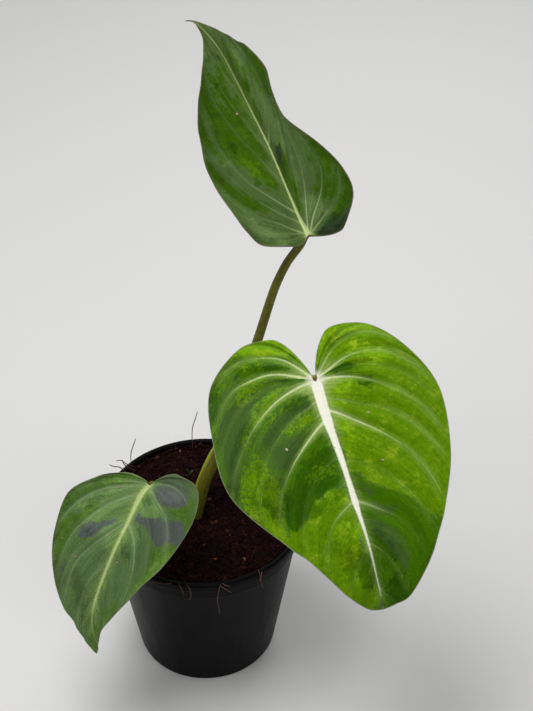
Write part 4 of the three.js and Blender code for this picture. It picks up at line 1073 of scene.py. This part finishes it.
def scattered(count, reach):
    """Random flat places, even over a disc."""
    r, a = reach * np.sqrt(rng.uniform(0, 1, count)), rng.uniform(0, 2 * np.pi, count)
    return r * np.cos(a), r * np.sin(a)


def coir_fibres(name, count, length, radius, lift, material):
    """Loose fibres on the soil: each an arc of a random turn, laid over the crumbs, and thin at both ends."""
    steps, sides = 9, 4
    x, y = scattered(count, SOIL_EDGE - 3)
    heading = rng.uniform(0, 2 * np.pi, (count, 1))
    bend = rng.normal(0, 0.9, (count, 1))
    size = rng.uniform(*length, (count, 1))
    w = np.linspace(-0.5, 0.5, steps)[None]
    angle = heading + bend * w
    step = size / (steps - 1)
    dx, dy = np.cumsum(np.cos(angle) * step, axis=1), np.cumsum(np.sin(angle) * step, axis=1)
    px, py = x[:, None] + dx - dx.mean(1, keepdims=True), y[:, None] + dy - dy.mean(1, keepdims=True)
    far = np.maximum(np.hypot(px, py) / (SOIL_EDGE - 1.2), 1)
    px, py = px / far, py / far
    arch = rng.uniform(*lift, (count, 1)) * (1 - (2 * w) ** 2) + rng.normal(0, 0.5, (count, 1)) * w * 2
    pz = soil_height(px, py) + 0.5 + np.maximum(arch, -0.3)
    thick = rng.uniform(*radius, (count, 1)) * np.sqrt(np.clip(1 - (2 * w) ** 4, 0, 1))
    shade = rng.uniform(0, 1, (count, 1, 1))
    radii = np.repeat(thick[..., None], sides, axis=2)
    skin = tubes(np.stack([px, py, pz], -1), radii, (0, 0, 1), {"shade": shade})
    return write_piece(name, [skin], material, "coir")


def lumps(name, centres, sizes, shade, material):
    """Small balls, each stretched to its three half sizes, dented, and rolled and turned at random."""
    rows, sides = 6, 8
    count = len(centres)
    tilt, turn = np.meshgrid(np.linspace(0, np.pi, rows), 2 * np.pi * np.arange(sides) / sides, indexing="ij")
    ball = np.stack([np.sin(tilt) * np.cos(turn), np.sin(tilt) * np.sin(turn), np.cos(tilt)], -1)
    dent = 1 + 0.3 * rng.uniform(-1, 1, (count, rows, sides, 1))
    dent[:, [0, -1]] = 1
    spin = rng.uniform(0, 2 * np.pi, count)[:, None, None]
    roll = rng.normal(0, 0.5, count)[:, None, None]
    x, y, z = np.moveaxis(ball[None] * dent * np.asarray(sizes, float)[:, None, None], -1, 0)
    y, z = y * np.cos(roll) - z * np.sin(roll), y * np.sin(roll) + z * np.cos(roll)
    x, y = x * np.cos(spin) - y * np.sin(spin), x * np.sin(spin) + y * np.cos(spin)
    points = np.stack([x, y, z], -1) + np.asarray(centres, float)[:, None, None]
    one = sheet(points[0], closed=True, flip=True)["quads"]
    quads = (one + (np.arange(count) * rows * sides)[:, None, None]).reshape(-1, 4)
    spread = np.broadcast_to(np.reshape(shade, (count, 1, 1)), (count, rows, sides)).reshape(-1, 1)
    flat = np.zeros((count * rows * sides, 2))
    skin = {"points": points.reshape(-1, 3), "quads": quads, "fields": {"shade": spread}, "maps": {"flow": flat}}
    return write_piece(name, [skin], material, "coir")


def crumbs(name, count, size, inner, rise, material):
    """Lumps of pith scattered over the soil, from the inner radius to the pot's wall."""
    r = np.sqrt(rng.uniform(inner ** 2, SOIL_EDGE ** 2, count))
    a = rng.uniform(0, 2 * np.pi, count)
    x, y = r * np.cos(a), r * np.sin(a)
    sizes = rng.uniform(0.4, 1, (count, 3)) * rng.uniform(*size, (count, 1)) * [1.2, 0.9, 0.7]
    z = soil_surface(x, y) + rng.uniform(0, rise, count)
    return lumps(name, np.stack([x, y, z], -1), sizes, rng.uniform(0, 0.85, count) ** 1.5, material)


def strays(name, routes, radius, material):
    """Single strands through given points, thin at both ends."""
    steps, sides = 17, 6
    w = np.linspace(0, 1, steps)
    paths = np.stack([catmull(route, w * (len(route) - 1)) for route in routes])
    thick = radius * np.sqrt(np.clip(1 - (2 * w - 1) ** 6, 0, 1))
    radii = np.broadcast_to(thick[None, :, None], (len(routes), steps, sides))
    shade = np.linspace(0.3, 0.8, len(routes))[:, None, None]
    skin = tubes(paths, radii, (0.3, 0.2, 1), {"shade": shade})
    return write_piece(name, [skin], material, "coir")


def on_blade(blade, spots):
    """Points of a blade's upper face over flat places on its plane."""
    junction, across, along, out = blade_frame(blade)
    mesh = bpy.data.objects[blade["name"]].data
    points = np.empty(3 * len(mesh.vertices), np.float32)
    mesh.vertices.foreach_get("co", points)
    points = points.reshape(-1, 3) / MM - junction
    flat, rise = points @ np.stack([across, along], -1), points @ out
    gap = np.linalg.norm(flat[None] - np.array(spots, float)[:, None], axis=2) - 0.1 * rise
    return points[gap.argmin(1)] + junction


class Net:
    """One node tree with short makers. Each maker but node returns its result socket."""

    def __init__(self, tree):
        self.tree = tree
        self.noises = {}

    def feed(self, socket, value):
        """Links a socket to a result, or sets it to a value."""
        if isinstance(value, bpy.types.NodeSocket):
            self.tree.links.new(value, socket)
        else:
            socket.default_value = value

    def node(self, kind, inputs=None, **settings):
        """A new node with its settings made and its inputs fed."""
        made = self.tree.nodes.new(kind)
        for key, value in settings.items():
            setattr(made, key, value)
        for key, value in (inputs or {}).items():
            self.feed(made.inputs[key], value)
        return made

    def math(self, operation, a, b):
        return self.node("ShaderNodeMath", {0: a, 1: b}, operation=operation).outputs[0]

    def times(self, a, b):
        return self.math("MULTIPLY", a, b)

    def over(self, a, b):
        return self.math("DIVIDE", a, b)

    def add(self, first, *rest):
        return self.math("ADD", first, self.add(*rest)) if rest else first

    def stray(self, **amounts):
        """Sum of the net's own noises about zero, each times its amount."""
        return self.add(*(self.times(self.math("SUBTRACT", self.noises[name], 0.5), amount)
                          for name, amount in amounts.items()))

    def smooth(self, value, low, high):
        """Runs from 0 at low to 1 at high with level ends."""
        inputs = {"Value": value, "From Min": low, "From Max": high}
        return self.node("ShaderNodeMapRange", inputs, interpolation_type="SMOOTHSTEP").outputs[0]

    def mix(self, factor, a, b, **settings):
        """Colour a where the factor is 0, and colour b where it is 1."""
        return self.node("ShaderNodeMix", {0: factor, 6: a, 7: b}, data_type="RGBA", **settings).outputs[2]

    def tint(self, factor, a, b):
        """Colour a, multiplied by colour b where the factor is 1."""
        return self.mix(factor, a, b, blend_type="MULTIPLY")

    def scaled(self, vector, scale):
        return self.node("ShaderNodeVectorMath", {0: vector, 1: scale}, operation="MULTIPLY").outputs[0]

    def lit(self, colour, amount):
        """A colour times a number."""
        return self.scaled(colour, self.node("ShaderNodeCombineXYZ", {k: amount for k in range(3)}).outputs[0])

    def noise(self, vector, scale, detail, roughness):
        inputs = {"Vector": vector, "Scale": scale, "Detail": detail, "Roughness": roughness}
        return self.node("ShaderNodeTexNoise", inputs).outputs[0]


def group(name, inputs):
    """A shader node group with named sockets that puts out a colour, a roughness and a height. Returns its net,
    its inputs, and a function that feeds its outputs and returns the finished tree."""
    tree = bpy.data.node_groups.new(name, "ShaderNodeTree")
    kinds = {"f": "NodeSocketFloat", "c": "NodeSocketColor", "v": "NodeSocketVector"}
    for key, kind in inputs.items():
        tree.interface.new_socket(name=key, in_out="INPUT", socket_type=kinds[kind])
    for key, kind in {"Colour": "c", "Roughness": "f", "Height": "f"}.items():
        tree.interface.new_socket(name=key, in_out="OUTPUT", socket_type=kinds[kind])
    net = Net(tree)
    source, sink = net.node("NodeGroupInput"), net.node("NodeGroupOutput")

    def finish(colour, roughness, height):
        for key, value in {"Colour": colour, "Roughness": roughness, "Height": height}.items():
            net.feed(sink.inputs[key], value)
        return tree

    return net, source.outputs, finish


def patch_colours(net, got):
    """The blade's ground with fresh streaks and its paler colour under painted light, then its patches with ragged
    edges: lime with deep, bright and dark mottles, dark, grey, flecks, and shade with spots. Last, painted light
    brightens the colour and painted shade darkens it."""
    n, times, add, stray, smoothed = net.noises, net.times, net.add, net.stray, net.smooth
    inside = lambda depth, rough, soft: smoothed(net.over(add(depth, rough), soft), -1.0, 1.0)
    ragged = times(stray(crumple=14.0, tatter=16.0, crinkle=7.0), got["Wander"])
    # Painted light and painted shade: soft masks inside their outlines.
    sunny = inside(got["Sunny Depth"], ragged, 2.5)
    painted_shade_weight = inside(got["Dusk Depth"], ragged, 2.5)
    deep = smoothed(add(n["vary"], stray(streak=0.25, grain=1.0)), 0.38, 0.66)
    lively = net.mix(deep, got["Lime"], got["Deep"])
    # Painted light also raises the bright mottles a little.
    bright = add(n["mottle"], stray(streak=0.3, tatter=0.25, crinkle=0.7), times(sunny, 0.09))
    lively = net.mix(smoothed(bright, 0.5, 0.76), lively, got["Bright"])
    freckled = smoothed(add(n["crinkle"], stray(scratch=0.5, grain=0.6)), 0.58, 0.72)
    lively = net.mix(times(freckled, 0.55), lively, got["Dark"])
    fresh = times(smoothed(add(n["stripe"], stray(tatter=0.9)), 0.45, 0.3), got["Streaks"])
    ground = net.mix(fresh, got["Ground"], got["Lime"])
    # Under painted light the ground turns to its paler, lit colour.
    ground = net.mix(times(sunny, 0.4), ground, got["Painted Light Ground"])
    colour = net.mix(inside(add(got["Lime Depth"], got["Grow"]), ragged, got["Blur"]), ground, lively)
    jagged = times(stray(streak=3.0, grain=3.5, crinkle=6.0), 0.8)
    colour = net.mix(inside(got["Dark Depth"], jagged, 0.4), colour, got["Dark"])
    greyed = inside(got["Grey Depth"], stray(stripe=6.0, streak=5.0, tatter=5.0), 1.6)
    colour = net.mix(times(greyed, 0.85), colour, got["Grey"])
    woven = add(n["scratch"], stray(tatter=0.4, crinkle=0.6, grain=0.5))
    woven = add(woven, times(net.math("MINIMUM", got["Fleck Depth"], 4.0), 0.03))
    flecked = times(smoothed(woven, 0.49, 0.57), smoothed(got["Fleck Depth"], -2.5, 0.5))
    colour = net.mix(flecked, colour, net.mix(0.5, got["Lime"], lively))
    shaded = inside(got["Shade Depth"], ragged, 1.1)
    spotted = times(smoothed(n["spots"], 0.7, 0.76), 0.8)
    colour = net.tint(net.math("MAXIMUM", shaded, spotted), colour, (0.56, 0.66, 0.62, 1))
    dull = times(smoothed(add(n["stripe"], stray(streak=0.9)), 0.5, 0.66), got["Streaks"])
    colour = net.tint(dull, colour, (0.62, 0.70, 0.85, 1))
    # Painted light brightens the whole colour by up to 0.4, and painted shade darkens it by up to 0.3.
    return net.lit(colour, add(1.0, times(sunny, 0.4), times(painted_shade_weight, -0.3)))


def vein_colours(net, got, colour):
    """Over the patches: the soft bands around the far ends of the lines, the glow beside the rib, the halo of
    each line with the pale fan near the hub, the lines, the rib, and the star at the hub. Returns the colour and
    the masks of the lines and the rib."""
    times, add, stray, smoothed, over = net.times, net.add, net.stray, net.smooth, net.over
    off_line = times(net.math("PINGPONG", got["Line"], 0.5), got["Spacing"])
    banded = times(smoothed(off_line, got["Band Width"], 0.0), got["Band"])
    colour = net.mix(times(banded, add(0.6, stray(streak=1.6, tatter=1.5))), colour, got["Soft"])
    glow = times(smoothed(add(got["Off Rib"], stray(tatter=6.0)), 4.2, -0.3), got["Rib Glow"])
    colour = net.mix(times(glow, add(0.7, stray(streak=1.0))), colour, got["Glow"])
    steps, from_hub = over(off_line, got["Line Width"]), over(got["Hub"], got["Star"])
    near_hub = smoothed(from_hub, 3.6, 0.6)
    fanned = over(steps, add(1.0, times(near_hub, 1.6)))
    halo = times(smoothed(add(fanned, stray(tatter=8.0)), 7.5, 0.3), times(got["Line Gain"], 0.95))
    colour = net.mix(halo, colour, got["Soft"])
    fan = times(smoothed(add(fanned, stray(tatter=5.0)), 6.0, 0.0), times(near_hub, got["Line Gain"]))
    colour = net.mix(times(fan, 0.75), colour, got["Glow"])
    lined = times(smoothed(add(steps, stray(grain=0.8)), 1.7, 0.25), got["Line Gain"])
    colour = net.mix(lined, colour, got["Pale"])
    ribbed = smoothed(over(add(got["Off Rib"], stray(thread=0.9, grain=0.8)), got["Rib Blur"]), 1.0, -1.0)
    star = times(smoothed(from_hub, 1.3, 0.3), 0.8)
    ribbed = net.math("MAXIMUM", times(ribbed, got["Rib Gain"]), star)
    return net.mix(ribbed, colour, got["Rib"]), lined, ribbed


def socket_of(field):
    """The socket's name for a painted field."""
    return field.replace("_", " ").title()


def blade_group():
    """Colour, roughness and relief of a blade from its painted fields: patches, then veins and midrib, the brown
    notch at the hub, fine grain, the margin line, and the paler underside."""
    inputs = {
        **{socket_of(field): "f" for field in BLADE_FIELDS},
        **{key: "c" if isinstance(value, tuple) else "f" for key, value in BLADE_LOOKS["leaf_large"].items()},
        "Flow": "v", "Place": "v",
    }
    net, got, finish = group("blade_skin", inputs)
    for name, (stretch, *settings) in BLADE_NOISES.items():
        place = net.scaled(got["Flow"], (1.0, stretch, 1.0)) if stretch else got["Place"]
        net.noises[name] = net.noise(place, *settings)
    times, add, stray, smoothed = net.times, net.add, net.stray, net.smooth
    colour, lined, ribbed = vein_colours(net, got, patch_colours(net, got))
    notch = times(smoothed(got["Hub"], 3.4, 1.2), smoothed(got["Edge"], 1.3, 0.5))
    colour = net.mix(notch, colour, NOTCH)
    fine = times(stray(thread=0.55, grain=1.0, cells=1.2, streak=0.6), got["Grain"])
    colour = net.lit(colour, add(1.0, times(fine, smoothed(ribbed, 1.6, 0.0))))
    rim = times(smoothed(got["Edge"], 0.6, 0.2), smoothed(got["Hub"], 3.0, 6.0))
    colour = net.mix(times(rim, add(0.75, stray(grain=2.0))), colour, got["Margin"])
    veined = net.math("MAXIMUM", lined, ribbed)
    back = net.mix(times(veined, 0.6), got["Back"], got["Rib"])
    back = net.tint(smoothed(net.noises["grain"], 0.45, 0.7), back, (0.85, 0.92, 0.9, 1))
    colour = net.mix(times(got["Under"], net.math("SUBTRACT", 1.0, rim)), colour, back)
    roughness = add(0.56, stray(grain=0.16), times(veined, -0.08))
    height = add(stray(streak=0.22, thread=0.12, grain=0.1, cells=0.06), times(ribbed, 0.12))
    return finish(colour, roughness, height)


def petiole_group():
    """Olive skin with paler threads along it and dark mottles, a reddish tint at its top, and a darker foot."""
    numbers, colours = ("Up", "To Top", "Redness"), ("Skin", "Fresh", "Red")
    inputs = {**dict.fromkeys(numbers, "f"), **dict.fromkeys(colours, "c"), "Flow": "v", "Place": "v"}
    net, got, finish = group("petiole_skin", inputs)
    times, add = net.times, net.add
    thread = net.noise(net.scaled(got["Flow"], (1.0, 0.05, 1.0)), 1.1, 3.0, 0.6)
    mottle = net.noise(got["Place"], 0.35, 3.0, 0.6)
    grain = net.noise(got["Place"], 2.4, 3.0, 0.6)
    colour = net.mix(net.smooth(thread, 0.4, 0.68), got["Skin"], got["Fresh"])
    colour = net.tint(net.smooth(mottle, 0.45, 0.7), colour, (0.7, 0.78, 0.7, 1))
    colour = net.tint(net.smooth(grain, 0.6, 0.75), colour, (0.6, 0.6, 0.55, 1))
    colour = net.mix(times(net.smooth(got["To Top"], 14.0, 1.0), got["Redness"]), colour, got["Red"])
    foot = net.smooth(add(got["Up"], times(grain, 6.0)), 17.0, 8.0)
    colour = net.tint(times(foot, 0.8), colour, (0.5, 0.38, 0.3, 1))
    return finish(colour, add(0.36, times(grain, 0.16)), add(times(thread, 0.25), times(grain, 0.06)))


def coir_group():
    """Coir from dark pith to bright fibre: the shade picks the colour, and grains of noise break it up."""
    net, got, finish = group("coir_grain", {"Shade": "f", "Place": "v", "Pith": "c", "Fibre": "c", "Bright": "c"})
    grain = net.noise(got["Place"], 1.4, 4.0, 0.7)
    patch = net.noise(got["Place"], 0.25, 3.0, 0.6)
    fine = net.noise(got["Place"], 5.0, 2.0, 0.6)
    colour = net.mix(net.smooth(grain, 0.42, 0.68), got["Pith"], got["Fibre"])
    colour = net.tint(net.smooth(patch, 0.4, 0.65), colour, (0.55, 0.5, 0.5, 1))
    colour = net.mix(net.smooth(got["Shade"], 0.45, 1.0), colour, got["Bright"])
    colour = net.tint(net.smooth(fine, 0.5, 0.7), colour, (0.6, 0.58, 0.55, 1))
    height = net.add(net.times(grain, 0.5), net.times(fine, 0.15))
    return finish(colour, net.add(0.8, net.times(grain, 0.15)), height)


def plastic_group():
    """Moulded plastic: faint flow marks and grain, with pale dust where both are strong."""
    net, got, finish = group("pot_plastic", {"Place": "v", "Body": "c", "Dust": "c"})
    grain = net.noise(got["Place"], 1.8, 3.0, 0.6)
    flow = net.noise(net.scaled(got["Place"], (1.0, 1.0, 0.15)), 0.09, 3.0, 0.6)
    dust = net.times(net.smooth(flow, 0.45, 0.75), net.smooth(grain, 0.35, 0.75))
    colour = net.mix(net.times(dust, 0.3), got["Body"], got["Dust"])
    roughness = net.add(0.34, net.times(grain, 0.1), net.times(dust, 0.25))
    return finish(colour, roughness, net.add(net.times(grain, 0.05), net.times(flow, 0.3)))


def material(name, tree, looks, attributes=None, flow=False, gloss=None):
    """A Principled material whose colour, roughness and bump come from one node group."""
    made = bpy.data.materials.new(name)
    made.use_nodes = True
    net = Net(made.node_tree)
    surface = made.node_tree.nodes["Principled BSDF"]
    place = net.node("ShaderNodeTexCoord").outputs["Object"]
    skin = net.node("ShaderNodeGroup", node_tree=tree)
    net.feed(skin.inputs["Place"], net.scaled(place, (1 / MM,) * 3))
    for key, value in looks.items():
        net.feed(skin.inputs[key], (*value, 1) if isinstance(value, tuple) else value)
    for key, attribute in (attributes or {}).items():
        source = net.node("ShaderNodeAttribute", attribute_name=attribute)
        net.feed(skin.inputs[key], source.outputs["Fac"])
    if flow:
        net.feed(skin.inputs["Flow"], net.node("ShaderNodeUVMap", uv_map="flow").outputs[0])
    bump = net.node("ShaderNodeBump", {"Strength": 1.0, "Distance": MM, "Height": skin.outputs["Height"]})
    net.feed(surface.inputs["Base Color"], skin.outputs["Colour"])
    net.feed(surface.inputs["Roughness"], skin.outputs["Roughness"])
    net.feed(surface.inputs["Normal"], bump.outputs[0])
    for key, value in (gloss or {}).items():
        surface.inputs[key].default_value = value
    return made


blade_skin, petiole_skin, coir_grain, pot_plastic = blade_group(), petiole_group(), coir_group(), plastic_group()
for blade in (LARGE, SMALL, TOP):
    fields = {socket_of(field): field for field in BLADE_FIELDS}
    blade_piece(blade, material(blade["name"], blade_skin, BLADE_LOOKS[blade["name"]], fields, True, VELVET))
for name, petiole in PETIOLES.items():
    looks = {**petiole["looks"], "Red": PETIOLE_RED}
    fields = {"Up": "up", "To Top": "to_top"}
    petiole_piece(name, petiole, material(name, petiole_skin, looks, fields, True, PETIOLE_GLOSS))

loose = {}
for name, colours in LOOSE_LOOKS.items():
    fields = None if name == "soil" else {"Shade": "shade"}
    gloss = COIR_GLOSS if name in DULL_COIR else None
    loose[name] = material(name, coir_grain, dict(zip(("Pith", "Fibre", "Bright"), colours)), fields, gloss=gloss)
soil_piece(loose["soil"])
for row in FIBRES:
    coir_fibres(*row, loose["loose_coir"])
for row in CRUMBS:
    crumbs(*row, loose["loose_coir"])
chips = np.array(CHIPS, float)
lumps("coir_chips", chips[:, :3], chips[:, 3:] * CHIP_SHAPE, np.full(len(chips), 1.0), loose["coir_chip"])
strays("coir_strays", STRAYS, STRAY_RADIUS, loose["coir_stray"])
strays("moss_sprig", SPRIG, SPRIG_RADIUS, loose["moss"])
specks = [(blade, np.array(SPECKS[blade["name"]])) for blade in (LARGE, SMALL, TOP)]
spots = np.concatenate([on_blade(blade, rows[:, :2]) for blade, rows in specks])
sizes = np.concatenate([rows[:, 2:] for _, rows in specks])
lumps("leaf_specks", spots, sizes * SPECK_SHAPE, np.linspace(0, 1, len(spots)), loose["speck"])
pot_piece(material("pot", pot_plastic, POT_LOOKS, gloss=POT_GLOSS))
rhizome_skin = material("rhizome", petiole_skin, RHIZOME_LOOKS)
for slot in frame["nodes"]["rhizome"].material_slots:
    slot.material = rhizome_skin


def add_floor():
    """A wide floor that the pot stands on, which isn't part of the object."""
    r = FLOOR_REACH
    mesh = bpy.data.meshes.new("floor")
    mesh.from_pydata([(-r, -r, 0), (r, -r, 0), (r, r, 0), (-r, r, 0)], [], [(0, 1, 2, 3)])
    paint = bpy.data.materials.new("floor")
    paint.use_nodes = True
    surface = paint.node_tree.nodes["Principled BSDF"]
    surface.inputs["Base Color"].default_value = FLOOR_COLOUR
    surface.inputs["Roughness"].default_value = FLOOR_ROUGHNESS
    mesh.materials.append(paint)
    floor = bpy.data.objects.new("floor", mesh)
    bpy.context.scene.collection.objects.link(floor)
    floor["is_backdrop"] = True


def add_light(name, place, size, power):
    """A soft square light aimed at the middle of the plant."""
    lamp = bpy.data.lights.new(name, "AREA")
    lamp.size, lamp.energy = size, power
    light = bpy.data.objects.new(name, lamp)
    light.location = place
    light.rotation_mode = "QUATERNION"
    light.rotation_quaternion = (Vector(LIGHT_TARGET) - Vector(place)).to_track_quat("-Z", "Y")
    bpy.context.scene.collection.objects.link(light)


def add_world():
    """Even pale light from all round, shown as it is."""
    world = bpy.data.worlds.new("studio")
    world.use_nodes = True
    world.node_tree.nodes["Background"].inputs["Color"].default_value = WORLD_COLOUR
    world.node_tree.nodes["Background"].inputs["Strength"].default_value = WORLD_STRENGTH
    bpy.context.scene.world = world
    bpy.context.scene.view_settings.view_transform = "Standard"


def add_camera():
    """The camera at the photograph's view."""
    lens = bpy.data.cameras.new("camera")
    lens.lens = CAMERA_LENS
    camera = bpy.data.objects.new("camera", lens)
    camera.location = [x * MM for x in CAMERA_PLACE]
    camera.rotation_euler = (np.radians(CAMERA_PITCH), 0, 0)
    bpy.context.scene.collection.objects.link(camera)
    bpy.context.scene.camera = camera


add_floor()
for light in LIGHTS:
    add_light(*light)
add_world()
add_camera()

boxes = {"cad": cad_box, "visual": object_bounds()}
{key: [list(corner) for corner in box] for key, box in boxes.items()}
